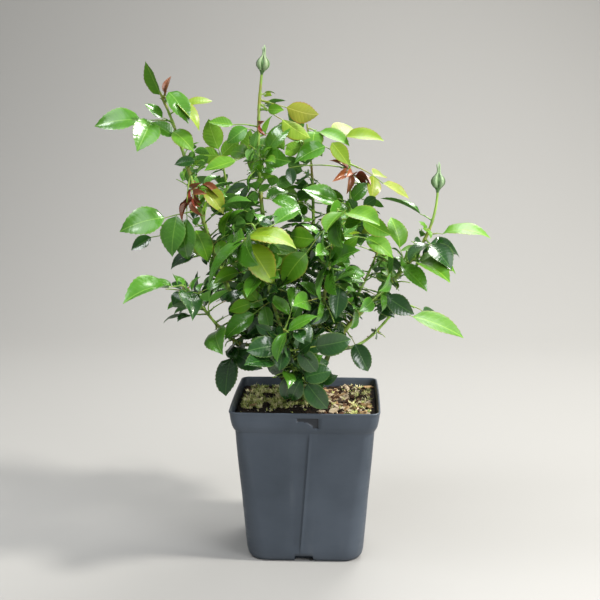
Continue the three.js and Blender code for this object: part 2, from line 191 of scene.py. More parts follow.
def between(rings: int, count: int) -> list:
    """Number the faces between rings of equal counts.

    Args:
        rings: How many rings there are.
        count: Points on each ring.

    Returns:
        The faces, ring by ring.
    """
    faces = []
    for level in range(rings - 1):
        for i in range(count):
            a, b = level * count + i, level * count + (i + 1) % count
            faces.append((a, b, b + count, a + count))
    return faces


def add_tube(shell: Shell, rings: Sequence, mark: int = 0, ends: Sequence | None = None) -> None:
    """Skin rings of equal counts and close both ends with a point.

    Args:
        shell: The mesh that it is added to.
        rings: Rings of points, turning left seen from the end.
        mark: Material number.
        ends: The two end points, or none for the middles of the end rings.
    """
    count = len(rings[0])
    points = [p for ring in rings for p in ring]
    points += ends or [np.mean(np.array(ring), axis=0) for ring in (rings[0], rings[-1])]
    faces = between(len(rings), count)
    last = (len(rings) - 1) * count
    for i in range(count):
        faces.append((len(rings) * count, (i + 1) % count, i))
        faces.append((len(rings) * count + 1, last + i, last + (i + 1) % count))
    shell.add(points, faces, mark)


def show(name: str, mesh: bpy.types.Mesh, finishes: Sequence[bpy.types.Material]) -> bpy.types.Object:
    """Put a mesh into the scene.

    Args:
        name: Name of the object.
        mesh: The finished mesh.
        finishes: Materials in the order of the mesh's material numbers.

    Returns:
        The new object.
    """
    piece = bpy.data.objects.new(name, mesh)
    for finish in finishes:
        mesh.materials.append(finish)
    bpy.context.scene.collection.objects.link(piece)
    return piece


def label(mesh: bpy.types.Mesh, name: str, kind: str, values: Sequence, domain: str = "POINT") -> None:
    """Give a mesh a named attribute.

    Args:
        mesh: The mesh.
        name: Name of the attribute.
        kind: Blender's name of its data type.
        values: One value for each element.
        domain: Blender's name of the elements.
    """
    data = mesh.attributes.new(name, kind, domain).data
    if kind == "FLOAT_VECTOR":
        data.foreach_set("vector", np.array(values, np.float32).ravel())
    elif kind == "FLOAT":
        data.foreach_set("value", np.array(values, np.float32))
    else:
        data.foreach_set("value", values)


def hand_over(piece: bpy.types.Object, slot: str, *nodes: str) -> None:
    """Fix a piece to the body and report it.

    Args:
        piece: The finished piece.
        slot: Name of a material slot of the record; not used.
        nodes: Solids that it stands for.
    """
    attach(piece, BODY)
    if nodes:
        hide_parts(*nodes)
    piece.data.calc_loop_triangles()
    LOG.info("%s: %d triangles", piece.name, len(piece.data.loop_triangles))


# Finishes


class Bench:
    """Lays out the nodes of one material."""

    def __init__(self, name: str, roughness: float, specular: float = 0.5, coat: float = 0.0) -> None:
        """Start a material.

        Args:
            name: Name of the material.
            roughness: Roughness where no node sets it.
            specular: Uniform specular level.
            coat: Uniform clear coat weight.
        """
        self.material = bpy.data.materials.new(name)
        self.material.use_nodes = True
        self.tree = self.material.node_tree
        self.shader = self.tree.nodes["Principled BSDF"]
        self.shader.inputs["Roughness"].default_value = roughness
        self.shader.inputs["Specular IOR Level"].default_value = specular
        self.shader.inputs["Coat Weight"].default_value = coat
        self.shader.inputs["Coat Roughness"].default_value = 0.17

    def node(self, kind: str, settings: dict | None = None, **inputs) -> bpy.types.Node:
        """Add a node.

        Args:
            kind: Blender's type name of the node.
            settings: Attributes of the node itself.
            inputs: Socket values or sockets to link, by name with _ for a space.

        Returns:
            The new node.
        """
        node = self.tree.nodes.new(kind)
        for key, value in (settings or {}).items():
            setattr(node, key, value)
        for key, value in inputs.items():
            numbered = key[0] == "n" and key[1:].isdigit()
            socket = node.inputs[int(key[1:]) if numbered else key.replace("_", " ")]
            if isinstance(value, bpy.types.NodeSocket):
                self.tree.links.new(value, socket)
            else:
                socket.default_value = value
        return node

    def place(self, stretch: tuple[float, float, float] = (1, 1, 1)) -> bpy.types.NodeSocket:
        """Give the object coordinates, stretched along the axes."""
        spot = self.node("ShaderNodeTexCoord").outputs["Object"]
        return self.node("ShaderNodeMapping", Vector=spot, Scale=stretch).outputs[0]

    def grain(self, spot: bpy.types.NodeSocket, scale: float, detail: float = 3.0) -> bpy.types.NodeSocket:
        """Give a noise value between 0 and 1."""
        return self.node("ShaderNodeTexNoise", Vector=spot, Scale=scale, Detail=detail).outputs["Fac"]

    def maths(self, operation: str, first, second=0.0) -> bpy.types.NodeSocket:
        """Combine two values by a named operation."""
        return self.node("ShaderNodeMath", {"operation": operation}, n0=first, n1=second).outputs[0]

    def spread(
        self, value, low: float, high: float, to_low: float = 0.0, to_high: float = 1.0
    ) -> bpy.types.NodeSocket:
        """Map a range of a value onto another range, held at its ends."""
        return self.node("ShaderNodeMapRange", n0=value, n1=low, n2=high, n3=to_low, n4=to_high).outputs[0]

    def blend(self, share, first, second) -> bpy.types.NodeSocket:
        """Mix two colours."""
        node = self.node("ShaderNodeMix", {"data_type": "RGBA"}, n0=share, n6=first, n7=second)
        return node.outputs[2]

    def finish(
        self, colour=None, roughness=None, height=None, strength: float = 0.3, depth: float = 0.001
    ) -> bpy.types.Material:
        """Wire the shader.

        Args:
            colour: Socket of the base colour.
            roughness: Socket of the roughness.
            height: Socket of the bump height.
            strength: Strength of the bump.
            depth: Depth in metres that a height of one stands for.

        Returns:
            The finished material.
        """
        if colour is not None:
            self.tree.links.new(colour, self.shader.inputs["Base Color"])
        if roughness is not None:
            self.tree.links.new(roughness, self.shader.inputs["Roughness"])
        if height is not None:
            bump = self.node("ShaderNodeBump", Height=height, Strength=strength, Distance=depth)
            self.tree.links.new(bump.outputs[0], self.shader.inputs["Normal"])
        return self.material


@dataclass(frozen=True)
class PotPlastic:
    """Slate grey moulded plastic with water marks and fine scuffs."""

    name: str = "slate_plastic"
    deep: tuple = (56, 65, 75)
    pale: tuple = (74, 83, 94)
    dust: tuple = (104, 110, 114)

    def material(self) -> bpy.types.Material:
        """Make the plastic."""
        bench = Bench(self.name, 0.46, 0.45)
        deep, pale, dust = inks(self.deep, self.pale, self.dust)
        cloud = bench.grain(bench.place(), 9.0, 4.0)
        run = bench.grain(bench.place((1, 1, 0.16)), 46.0, 5.0)
        scuff = bench.grain(bench.place((1, 1, 5)), 60.0, 6.0)
        colour = bench.blend(bench.spread(cloud, 0.35, 0.68), deep, pale)
        marks = bench.spread(run, 0.60, 0.82, 0.0, 0.22)
        colour = bench.blend(marks, colour, dust)
        height = bench.grain(bench.place(), 900.0, 2.0)
        roughness = bench.spread(scuff, 0.3, 0.75, 0.36, 0.56)
        return bench.finish(colour, roughness, height, 0.12, 0.0003)


@dataclass(frozen=True)
class Peat:
    """Dark, crumbly potting compost."""

    dark: tuple = (24, 18, 14)
    light: tuple = (70, 54, 40)

    def material(self) -> bpy.types.Material:
        """Make the compost."""
        bench = Bench("peat_compost", 0.95, 0.25)
        dark, light = inks(self.dark, self.light)
        crumb = bench.grain(bench.place(), 180.0, 6.0)
        clod = bench.grain(bench.place(), 45.0, 3.0)
        share = bench.maths("MULTIPLY", bench.spread(crumb, 0.35, 0.75), bench.spread(clod, 0.3, 0.8))
        height = bench.maths("ADD", crumb, clod)
        return bench.finish(bench.blend(share, dark, light), None, height, 0.9, 0.003)


@dataclass(frozen=True)
class Litter:
    """Bits that lie on the compost: bark, moss, straw or grit."""

    name: str
    dark: tuple
    light: tuple
    roughness: float = 0.85
    scale: float = 160.0

    def material(self) -> bpy.types.Material:
        """Make the litter's finish."""
        bench = Bench(self.name, self.roughness, 0.3)
        dark, light = inks(self.dark, self.light)
        fibre = bench.grain(bench.place((1, 1, 3)), self.scale, 4.0)
        patch = bench.grain(bench.place(), self.scale * 0.35, 1.0)
        fibres = bench.spread(fibre, 0.3, 0.75, 0.0, 0.5)
        patches = bench.spread(patch, 0.3, 0.7, 0.0, 0.5)
        colour = bench.blend(bench.maths("ADD", fibres, patches), dark, light)
        return bench.finish(colour, None, fibre, 0.5, 0.001)


@dataclass(frozen=True)
class Bark:
    """Stem skin, from rough old bark to the smooth green of a young cane."""

    name: str
    dark: tuple
    light: tuple
    flush: tuple
    roughness: float
    relief: float

    def material(self) -> bpy.types.Material:
        """Make the bark."""
        bench = Bench(self.name, self.roughness, 0.4)
        dark, light, flush = inks(self.dark, self.light, self.flush)
        streak = bench.grain(bench.place((1, 1, 0.22)), 210.0, 5.0)
        patch = bench.grain(bench.place(), 38.0, 3.0)
        colour = bench.blend(bench.spread(streak, 0.32, 0.7), dark, light)
        colour = bench.blend(bench.spread(patch, 0.52, 0.72, 0.0, 0.75), colour, flush)
        return bench.finish(colour, None, streak, self.relief, 0.0012)


class Tint(Enum):
    """The leaf colours of the bush, from old shaded leaves to new growth, whose yellow-green also stands for
    painted glow of leaves lit from behind.
    """

    DARK = 0
    MID = 1
    BRIGHT = 2
    YELLOW = 3
    OLIVE = 4
    BRONZE = 5


DARK, MID, BRIGHT, YELLOW, OLIVE, BRONZE = Tint


@dataclass(frozen=True)
class LeafFace:
    """One side of a leaf: waxy above and matt below, with a herringbone of veins."""

    name: str
    blade: tuple
    vein: tuple
    roughness: float
    coat: float
    relief: float
    edge: tuple
    blush: float = 0.25

    def material(self) -> bpy.types.Material:
        """Make the leaf surface, whose veins follow the blade's own map."""
        bench = Bench(self.name, self.roughness, 0.25 + 0.5 * self.coat, self.coat)
        blade, vein, edge = inks(self.blade, self.vein, self.edge)
        place = bench.node("ShaderNodeUVMap", {"uv_map": "blade"}).outputs[0]
        parts = bench.node("ShaderNodeSeparateXYZ", Vector=place)
        tone = bench.node("ShaderNodeAttribute", {"attribute_name": "tone"}).outputs["Fac"]
        rim = bench.node("ShaderNodeAttribute", {"attribute_name": "rim"}).outputs["Fac"]
        away = bench.maths("ABSOLUTE", bench.maths("SUBTRACT", parts.outputs[1], 0.5))
        course = bench.maths("SUBTRACT", parts.outputs[0], bench.maths("MULTIPLY", away, 0.62))
        wave = bench.maths("ABSOLUTE", bench.maths("SINE", bench.maths("MULTIPLY", course, 26.0)))
        pleat = bench.maths("POWER", wave, 0.6)
        side = bench.spread(wave, 0.0, 0.14, 0.26, 0.0)
        middle = bench.spread(away, 0.004, 0.016, 0.75, 0.0)
        lines = bench.maths("MAXIMUM", side, middle)
        mottle = bench.grain(bench.place(), 46.0, 3.0)
        shade = (blade[0] * 0.62, blade[1] * 0.70, blade[2] * 0.66, 1.0)
        light = (min(blade[0] * 1.25, 1.0), min(blade[1] * 1.14, 1.0), blade[2], 1.0)
        colour = bench.blend(tone, shade, light)
        colour = bench.blend(bench.spread(mottle, 0.34, 0.62, 0.0, 0.55), shade, colour)
        colour = bench.blend(lines, colour, vein)
        colour = bench.blend(bench.spread(rim, 0.84, 1.0, 0.0, self.blush), colour, edge)
        ripple = bench.grain(bench.place(), 120.0, 2.0)
        ribs = bench.maths("SUBTRACT", pleat, bench.maths("MULTIPLY", middle, 0.9))
        height = bench.maths("ADD", ribs, bench.maths("MULTIPLY", ripple, 0.5))
        roughness = bench.spread(mottle, 0.25, 0.75, self.roughness - 0.05, self.roughness + 0.08)
        return bench.finish(colour, roughness, height, self.relief, 0.0006)


RED_EDGE, PALE_EDGE = (150, 84, 44), (150, 176, 84)
UPPER = {
    DARK: LeafFace("leaf_dark", (40, 82, 32), (76, 118, 50), 0.22, 0.5, 0.20, PALE_EDGE),
    MID: LeafFace("leaf_mid", (84, 142, 38), (122, 170, 66), 0.23, 0.5, 0.20, PALE_EDGE),
    BRIGHT: LeafFace("leaf_bright", (94, 148, 24), (138, 178, 60), 0.44, 0.05, 0.20, RED_EDGE, 0.35),
    # The yellow-green is young leaf colour and also painted glow of leaves lit from behind.
    YELLOW: LeafFace("leaf_yellow_green", (130, 158, 24), (154, 176, 52), 0.44, 0.08, 0.20, RED_EDGE, 0.5),
    OLIVE: LeafFace("leaf_olive", (140, 156, 34), (164, 164, 62), 0.44, 0.08, 0.20, RED_EDGE, 0.65),
    BRONZE: LeafFace("leaf_bronze", (148, 82, 48), (164, 112, 58), 0.32, 0.2, 0.20, RED_EDGE, 0.3),
}
UNDER = {
    DARK: LeafFace("leaf_dark_under", (66, 104, 54), (100, 130, 80), 0.55, 0.0, 0.35, PALE_EDGE),
    MID: LeafFace("leaf_mid_under", (94, 146, 56), (124, 164, 84), 0.55, 0.0, 0.35, PALE_EDGE),
    BRIGHT: LeafFace("leaf_bright_under", (118, 168, 46), (146, 184, 76), 0.55, 0.0, 0.3, RED_EDGE, 0.35),
    YELLOW: LeafFace("leaf_yellow_under", (144, 172, 42), (166, 186, 76), 0.55, 0.0, 0.3, RED_EDGE, 0.5),
    OLIVE: LeafFace("leaf_olive_under", (154, 156, 46), (172, 170, 80), 0.55, 0.0, 0.3, RED_EDGE, 0.65),
    BRONZE: LeafFace("leaf_bronze_under", (156, 66, 52), (172, 96, 68), 0.5, 0.0, 0.3, RED_EDGE, 0.2),
}
OLD_BARK = Bark("old_bark", (62, 48, 34), (120, 98, 70), (86, 84, 50), 0.85, 0.9)
CANE_SKIN = Bark("cane_skin", (70, 88, 42), (112, 138, 62), (104, 78, 46), 0.5, 0.4)
YOUNG_SKIN = Bark("young_skin", (104, 140, 52), (146, 178, 74), (150, 104, 60), 0.42, 0.2)
PRICKLE_SKIN = Bark("prickle_skin", (120, 52, 40), (172, 100, 70), (150, 120, 70), 0.45, 0.1)
BUD_SKIN = Bark("bud_skin", (52, 84, 42), (96, 132, 76), (84, 120, 70), 0.42, 0.25)
SEPAL_SKIN = Bark("sepal_skin", (104, 136, 90), (160, 182, 142), (128, 146, 100), 0.40, 0.25)


# What repeats

# What a face on the under side adds to its copy's tint number.
UNDER_CODE = 100


@dataclass
class Shape:
    """One small part that repeats, in units of its own length, along +X with +Z up."""

    points: Array
    faces: list
    under: list
    places: Array | None = None
    rim: Sequence[float] | None = None
    crisp: bool = False

    def source(self, name: str) -> bpy.types.Object:
        """Make the object that is copied to each spot."""
        mesh = bpy.data.meshes.new(name)
        mesh.from_pydata(self.points.tolist(), [], self.faces)
        mesh.polygons.foreach_set("use_smooth", [not self.crisp] * len(self.faces))
        label(mesh, "under", "INT", self.under, "FACE")
        if self.rim is not None:
            label(mesh, "rim", "FLOAT", self.rim)
        if self.places is not None:
            layer = mesh.uv_layers.new(name="blade")
            corners = np.empty(len(mesh.loops), np.int32)
            mesh.loops.foreach_get("vertex_index", corners)
            layer.uv.foreach_set("vector", self.places[corners].astype(np.float32).ravel())
        mesh.update()
        sides: dict = {}
        for number, face in enumerate(self.faces):
            for a, b in zip(face, face[1:] + face[:1]):
                sides.setdefault((min(a, b), max(a, b)), set()).add(self.under[number])
        creased = [len(sides[tuple(sorted(edge.vertices))]) > 1 for edge in mesh.edges]
        label(mesh, "sharp_edge", "BOOLEAN", creased, "EDGE")
        return bpy.data.objects.new(name, mesh)


@dataclass
class Spots:
    """Where and how the copies of a shape stand, in millimetres."""

    rows: list = field(default_factory=list)

    def add(
        self, place: Array, ahead: Array, normal: Array, size: Sequence[float], shape: int, tint: int,
        tone: float = 0.5
    ) -> None:
        """Set one copy.

        Args:
            place: Position of the copy's origin.
            ahead: Unit direction of its length.
            normal: Unit direction of its upper side, square to ahead.
            size: Its scale in length, width and height, in millimetres.
            shape: Number of the shape.
            tint: Number of the finish.
            tone: Its brightness, from 0 to 1.
        """
        across = np.cross(normal, ahead)
        turn = Matrix((ahead, across, normal)).transposed().to_euler()
        self.rows.append((place, tuple(turn), size, shape, tint, tone))


class NodeGroup:
    """A geometry node tree with named inputs."""

    def __init__(self, name: str) -> None:
        """Start a tree that takes and gives a geometry."""
        self.tree = bpy.data.node_groups.new(name, "GeometryNodeTree")
        self.face = self.tree.interface
        self.face.new_socket("Geometry", in_out="INPUT", socket_type="NodeSocketGeometry")
        self.face.new_socket("Geometry", in_out="OUTPUT", socket_type="NodeSocketGeometry")
        self.values: dict = {}

    def ask(self, name: str, kind: str, value) -> None:
        """Add a named input and the value that the modifier gives it."""
        self.face.new_socket(name, in_out="INPUT", socket_type=kind)
        self.values[name] = value

    def node(self, kind: str, settings: dict | None = None, **inputs) -> bpy.types.Node:
        """Add a node with its settings and inputs, by number as n0 or by name."""
        return Bench.node(self, kind, settings, **inputs)

    def named(self, name: str, kind: str) -> bpy.types.NodeSocket:
        """Read a named attribute."""
        node = self.node("GeometryNodeInputNamedAttribute", {"data_type": kind}, Name=name)
        return next(socket for socket in node.outputs if socket.enabled and socket.name == "Attribute")

    def link(self, source: bpy.types.NodeSocket, target: bpy.types.NodeSocket) -> None:
        """Join two sockets."""
        self.tree.links.new(source, target)

    def apply(self, piece: bpy.types.Object) -> None:
        """Run the tree on an object and keep the result as its plain mesh.

        Args:
            piece: The object, whose mesh is replaced.
        """
        modifier = piece.modifiers.new(self.tree.name, "NODES")
        modifier.node_group = self.tree
        for item in self.face.items_tree:
            if item.in_out == "INPUT" and item.name in self.values:
                modifier[item.identifier] = self.values[item.name]
        graph = bpy.context.evaluated_depsgraph_get()
        ready = piece.evaluated_get(graph)
        made = bpy.data.meshes.new_from_object(ready, preserve_all_data_layers=True, depsgraph=graph)
        piece.modifiers.remove(modifier)
        piece.data = made


def repeat(
    name: str, shapes: Sequence[Shape], spots: Spots, upper: Sequence, under: Sequence | None = None
) -> bpy.types.Object:
    """Set copies of small shapes at their spots and join them into one piece.

    Args:
        name: Name of the piece.
        shapes: The shapes to choose from.
        spots: Where the copies stand.
        upper: Materials by tint, for the upper side or the whole copy.
        under: Materials by tint for faces marked under.

    Returns:
        The piece as a plain mesh.
    """
    places, turns, sizes, picks, tints, tones = zip(*spots.rows)
    mesh = bpy.data.meshes.new(name)
    mesh.from_pydata((np.array(places) * MM).tolist(), [], [])
    label(mesh, "turn", "FLOAT_VECTOR", turns)
    label(mesh, "size", "FLOAT_VECTOR", (np.array(sizes) * MM).tolist())
    label(mesh, "shape", "INT", picks)
    label(mesh, "tint", "INT", tints)
    label(mesh, "tone", "FLOAT", tones)
    piece = show(name, mesh, [])

    holder = bpy.data.collections.new(f"{name}_shapes")
    bpy.context.scene.collection.children.link(holder)
    sources = [shape.source(f"{name}_shape_{number:02d}") for number, shape in enumerate(shapes)]
    for source in sources:
        holder.objects.link(source)

    group = NodeGroup(f"{name}_repeat")
    group.ask("Shapes", "NodeSocketCollection", holder)
    group.ask("Scale", "NodeSocketFloat", 1.0)
    start = group.node("NodeGroupInput")
    picked = group.node(
        "GeometryNodeCollectionInfo", None, Collection=start.outputs["Shapes"], Separate_Children=True,
        Reset_Children=True
    )
    turn = group.node("FunctionNodeEulerToRotation", None, Euler=group.named("turn", "FLOAT_VECTOR"))
    size = group.node(
        "ShaderNodeVectorMath", {"operation": "SCALE"}, n0=group.named("size", "FLOAT_VECTOR"),
        Scale=start.outputs["Scale"]
    )
    copies = group.node(
        "GeometryNodeInstanceOnPoints", None, Points=start.outputs["Geometry"], Instance=picked.outputs[0],
        Pick_Instance=True, Instance_Index=group.named("shape", "INT"), Rotation=turn.outputs[0],
        Scale=size.outputs[0],
    )
    flow = group.node("GeometryNodeRealizeInstances", None, Geometry=copies.outputs[0]).outputs[0]
    below, tint = group.named("under", "INT"), group.named("tint", "INT")
    code = group.node(
        "ShaderNodeMath", {"operation": "MULTIPLY_ADD"}, n0=below, n1=float(UNDER_CODE), n2=tint
    )
    coats = [(number, finish) for number, finish in enumerate(upper)]
    coats += [(number + UNDER_CODE, finish) for number, finish in enumerate(under or ())]
    for number, finish in coats:
        same = group.node("FunctionNodeCompare", {"data_type": "INT", "operation": "EQUAL"})
        inputs = [socket for socket in same.inputs if socket.enabled]
        group.link(code.outputs[0], inputs[0])
        inputs[1].default_value = number
        coat = group.node(
            "GeometryNodeSetMaterial", None, Geometry=flow, Selection=same.outputs[0], Material=finish
        )
        flow = coat.outputs[0]
    group.link(flow, group.node("NodeGroupOutput").inputs[0])
    group.apply(piece)

    for source in sources:
        data = source.data
        bpy.data.objects.remove(source)
        bpy.data.meshes.remove(data)
    bpy.data.collections.remove(holder)
    return piece


def tubes(
    name: str, paths: Sequence[tuple[Array, Array]], sides: int, finish: bpy.types.Material
) -> bpy.types.Object:
    """Draw round, capped stalks along paths.

    Args:
        name: Name of the piece.
        paths: Points of each path and the radius at each point, in millimetres.
        sides: Faces around a stalk.
        finish: Material of the stalks.

    Returns:
        The piece as a plain mesh.
    """
    points, edges, radii = [], [], []
    for line, radius in paths:
        first = len(points)
        points.extend((np.asarray(line) * MM).tolist())
        radii.extend((np.asarray(radius) * MM).tolist())
        edges.extend((first + i, first + i + 1) for i in range(len(line) - 1))
    mesh = bpy.data.meshes.new(name)
    mesh.from_pydata(points, edges, [])
    label(mesh, "thick", "FLOAT", radii)
    piece = show(name, mesh, [])
    group = NodeGroup(f"{name}_stalks")
    group.ask("Sides", "NodeSocketInt", sides)
    group.ask("Thickness", "NodeSocketFloat", 1.0)
    start = group.node("NodeGroupInput")
    line = group.node("GeometryNodeMeshToCurve", None, Mesh=start.outputs["Geometry"])
    width = group.node(
        "ShaderNodeMath", {"operation": "MULTIPLY"}, n0=group.named("thick", "FLOAT"),
        n1=start.outputs["Thickness"]
    )
    thick = group.node("GeometryNodeSetCurveRadius", None, Curve=line.outputs[0], Radius=width.outputs[0])
    ring = group.node(
        "GeometryNodeCurvePrimitiveCircle", {"mode": "RADIUS"}, Resolution=start.outputs["Sides"]
    )
    next(s for s in ring.inputs if s.enabled and s.name == "Radius").default_value = 1.0
    skin = group.node(
        "GeometryNodeCurveToMesh", None, Curve=thick.outputs[0], Profile_Curve=ring.outputs[0], Fill_Caps=True
    )
    if "Scale" in skin.inputs:
        radius = group.node("GeometryNodeInputRadius")
        group.link(radius.outputs[0], skin.inputs["Scale"])
    soft = group.node("GeometryNodeSetShadeSmooth", None, Geometry=skin.outputs[0], Shade_Smooth=True)
    whole = group.node("GeometryNodeRealizeInstances", None, Geometry=soft.outputs[0])
    coat = group.node("GeometryNodeSetMaterial", None, Geometry=whole.outputs[0], Material=finish)
    group.link(coat.outputs[0], group.node("NodeGroupOutput").inputs[0])
    group.apply(piece)
    return piece


# The growth rule


@dataclass(frozen=True)
class Growth:
    """Sizes of the rule that sets the leaves, in millimetres, degrees and shares of a length."""

    soil: float = 212.0
    clearance: float = 0.35
    union_radius: float = 19.0
    union_waist: float = 16.0
    union_height: float = 24.0
    cane_sides: int = 5
    cane_steps: int = 5
    stem_steps: int = 8
    twig_sides: int = 3
    twig_radius: float = 1.6
    twig_taper: float = 0.35
    least_stalk: float = 0.3
    end_leaflet: float = 0.97
    seat_overlap: float = 1.2
    pair_places: tuple = ((), (0.66,), (0.40, 0.80))
    pair_droop: float = 0.10
    low_pair: float = 0.80
    high_pair: float = 0.90
    leaf_brush: float = 0.02
    placed_stalk: float = 20.0
    seen_middle: float = 0.48
    seen_radius: float = 0.36
    seen_overlap: float = 0.78
    fill_start: float = 0.06
    fill_shade: float = 45.0
    box_slack: float = 2.0
    leaf_width: float = 0.72
    leaf_fold: float = 0.10
    leaf_bend: float = 0.10
    leaf_thickness: float = 1.7
    leaflet_spread: float = 66.0
    divergence: float = 144.0
    bud_height: float = 21.0
    bud_radius: float = 9.4
    bud_sepals: float = 14.0


RULE = Growth()


@dataclass(frozen=True)
class Spray:
    """One compound leaf: where it leaves its stem and how it lies."""

    station: float
    bearing: float
    rise: float
    reach: float
    pairs: int
    leaflet: float
    roll: float
    tint: Tint = Tint.MID

    @property
    def leads(self) -> bool:
        """Tell whether the leaf stands out in the photograph, by its size or colour."""
        return self.leaflet >= 54 or self.tint in (BRIGHT, YELLOW, OLIVE, BRONZE)


@dataclass
class Leaflet:
    """One blade of a compound leaf."""

    base: Array
    ahead: Array
    normal: Array
    length: float

    def corners(self) -> Array:
        """Give the six corners of the plain blade that the rule tests."""
        across = np.cross(self.ahead, self.normal)
        wide = RULE.leaf_width / 2
        lift = RULE.leaf_fold * RULE.leaf_width
        half = RULE.leaf_thickness / 2
        flat = [
            (0, 0, 0), (0.44, -wide, lift), (1, 0, -RULE.leaf_bend), (0.44, wide, lift),
            (0.13, 0, 0), (0.13, 0, 0),
        ]
        points = [
            self.base + self.length * (x * self.ahead + y * across + z * self.normal) for x, y, z in flat
        ]
        points[4] = points[4] + half * self.normal
        points[5] = points[5] - half * self.normal
        return np.array(points)


@dataclass
class Shoot:
    """One cane with the mass of leaves on its end."""

    name: str
    knee: tuple
    shoulder: tuple
    tip: tuple
    bare: float
    full: float
    radius: tuple
    seed: int
    leaves: int
    foot: tuple | None = None
    parent: str | None = None
    fork: float = 0.0
    bud: bool = False
    sprays: tuple = ()
    path: Array | None = None
    start: float = 0.0

    def __post_init__(self) -> None:
        """Read the listed sprays, each a row of a spray's values."""
        self.sprays = tuple(Spray(*values) for values in self.sprays)

    def along(self, t: float) -> Array:
        """Give the point at a station, on a smooth curve through the four marks."""
        weights = (
            (1 - 3 * t) * (2 - 3 * t) * (1 - t) / 2,
            4.5 * t * (2 - 3 * t) * (1 - t),
            4.5 * t * (3 * t - 1) * (1 - t),
            t * (3 * t - 1) * (3 * t - 2) / 2,
        )
        return np.array(weights) @ self.path

    def heading(self, t: float) -> Array:
        """Give the direction of growth at a station."""
        return unit(self.along(t + 0.01) - self.along(t - 0.01))

    def thickness(self, t: float) -> float:
        """Give the stem's radius at a station."""
        thick, thin = self.radius
        return thick + (thin - thick) * t

    def pace(self, t: float) -> float:
        """Give the length of stem in one unit of station."""
        return float(np.linalg.norm(self.along(t + 0.01) - self.along(t)) / 0.01)

    def rings(self, first: float, last: float, steps: int, sides: int) -> list:
        """Give the rings of plain stem between two stations."""
        stations = [first + (last - first) * i / steps for i in range(steps + 1)]
        return [section(self.along(t), self.heading(t), self.thickness(t), sides) for t in stations]

    def ruled(self) -> list:
        """Give the sprays that the rule sets up the shoot."""
        dice = Dice(self.seed * Stream.LEAVES)
        start = dice.next() * 360
        sprays = []
        for i in range(self.leaves):
            t = self.bare + 0.02 + (self.full - 0.02 - self.bare) * (i + 0.5) / self.leaves
            bearing = start + RULE.divergence * i + dice.around(0, 14)
            rise = dice.around(4 + 30 * t, 18)
            reach = dice.around(108 - 26 * t, 12)
            pairs = 2 if dice.next() < 0.75 else 1
            leaflet = dice.around(52 - 8 * t, 5)
            sprays.append(Spray(t, bearing, rise, reach, pairs, leaflet, dice.around(0, 38)))
        return sprays

    def side_twigs(self, first: float, last: float, count: int, leaflet: float) -> list:
        """Give the smaller sprays that fill in between the leaves.

        Args:
            first: Station of the lowest one.
            last: Station of the highest one.
            count: How many are tried.
            leaflet: Their leaflets' middle length.

        Returns:
            The sprays, lowest first.
        """
        dice = Dice(self.seed * Stream.TWIGS + count)
        start = dice.next() * 360
        sprays = []
        for i in range(count):
            t = first + (last - first) * (i + 0.5) / count
            bearing = start + 137.5 * i + dice.around(0, 20)
            rise = dice.around(10, 34)
            length = dice.around(leaflet - 8 * t, leaflet * 0.18)
            reach = length * dice.around(1.9, 0.35)
            pairs = 1 if dice.next() < 0.55 else 2
            sprays.append(Spray(t, bearing, rise, reach, pairs, length, dice.around(0, 40)))
        return sprays


def section(centre: Array, direction: Array, radius: float, sides: int) -> Array:
    """Give the points of a ring across a stem.

    Args:
        centre: Middle of the ring.
        direction: Direction of the stem.
        radius: Radius of the ring.
        sides: Points on the ring.

    Returns:
        The points, turning left seen from the end.
    """
    level = UP if abs(direction[2]) < 0.9 else np.array([0.0, 1.0, 0.0])
    across = unit(np.cross(direction, level))
    over = np.cross(direction, across)
    angles = np.arange(sides) * 2 * math.pi / sides
    return centre + radius * (np.outer(np.cos(angles), across) + np.outer(np.sin(angles), over))


class Leaf:
    """One compound leaf: a stalk with pairs of leaflets and one at its end."""

    def __init__(self, shoot: Shoot, spray: Spray, tint: Tint) -> None:
        """Lay the leaf out.

        Args:
            shoot: The shoot that carries it.
            spray: Where and how it stands.
            tint: Its colour.
        """
        self.tint = tint
        self.leading = False
        self.foot = shoot.along(spray.station)
        turn, lift = math.radians(spray.bearing), math.radians(spray.rise)
        level = math.cos(lift)
        self.ahead = np.array([math.cos(turn) * level, math.sin(turn) * level, math.sin(lift)])
        self.stalk = max(spray.reach - spray.leaflet * RULE.end_leaflet, RULE.least_stalk * spray.reach)
        end = self.foot + self.ahead * self.stalk
        lean = unit(np.array([end[0], end[1], 0.0])) * 0.78 + UP * 0.62
        up = lean - self.ahead * (lean @ self.ahead)
        if np.linalg.norm(up) < 0.2:
            up = UP - self.ahead * self.ahead[2]
        up = unit(up)
        roll = math.radians(spray.roll)
        self.normal = up * math.cos(roll) + np.cross(self.ahead, up) * math.sin(roll)
        side = np.cross(self.ahead, self.normal)
        self.twig = self.plain_stalk()
        self.leaflets: list[Leaflet] = []
        self.shares: list[float] = []
        spread = math.radians(RULE.leaflet_spread)
        for index, share in enumerate(RULE.pair_places[spray.pairs]):
            for hand in (-1, 1):
                level = self.ahead * math.cos(spread) + side * hand * math.sin(spread)
                out = unit(level - self.normal * RULE.pair_droop)
                face = unit(self.normal - out * (self.normal @ out))
                lowest = index == 0 and spray.pairs > 1
                length = spray.leaflet * (RULE.low_pair if lowest else RULE.high_pair)
                base = self.foot + self.ahead * share * self.stalk + out * 0.15
                self.leaflets.append(Leaflet(base, out, face, length))
                self.shares.append(share)
        end = self.foot + self.ahead * (self.stalk - RULE.seat_overlap)
        self.leaflets.append(Leaflet(end, self.ahead, self.normal, spray.leaflet))
        self.shares.append(1.0)

    def plain_stalk(self) -> list:
        """Give the rings at the two ends of the stalk that the rule tests."""
        rings = []
        for share in (0, 1):
            place = self.foot + self.ahead * share * self.stalk
            radius = RULE.twig_radius * (1 - RULE.twig_taper * share)
            rings.append(section(place, self.ahead, radius, RULE.twig_sides))
        return rings


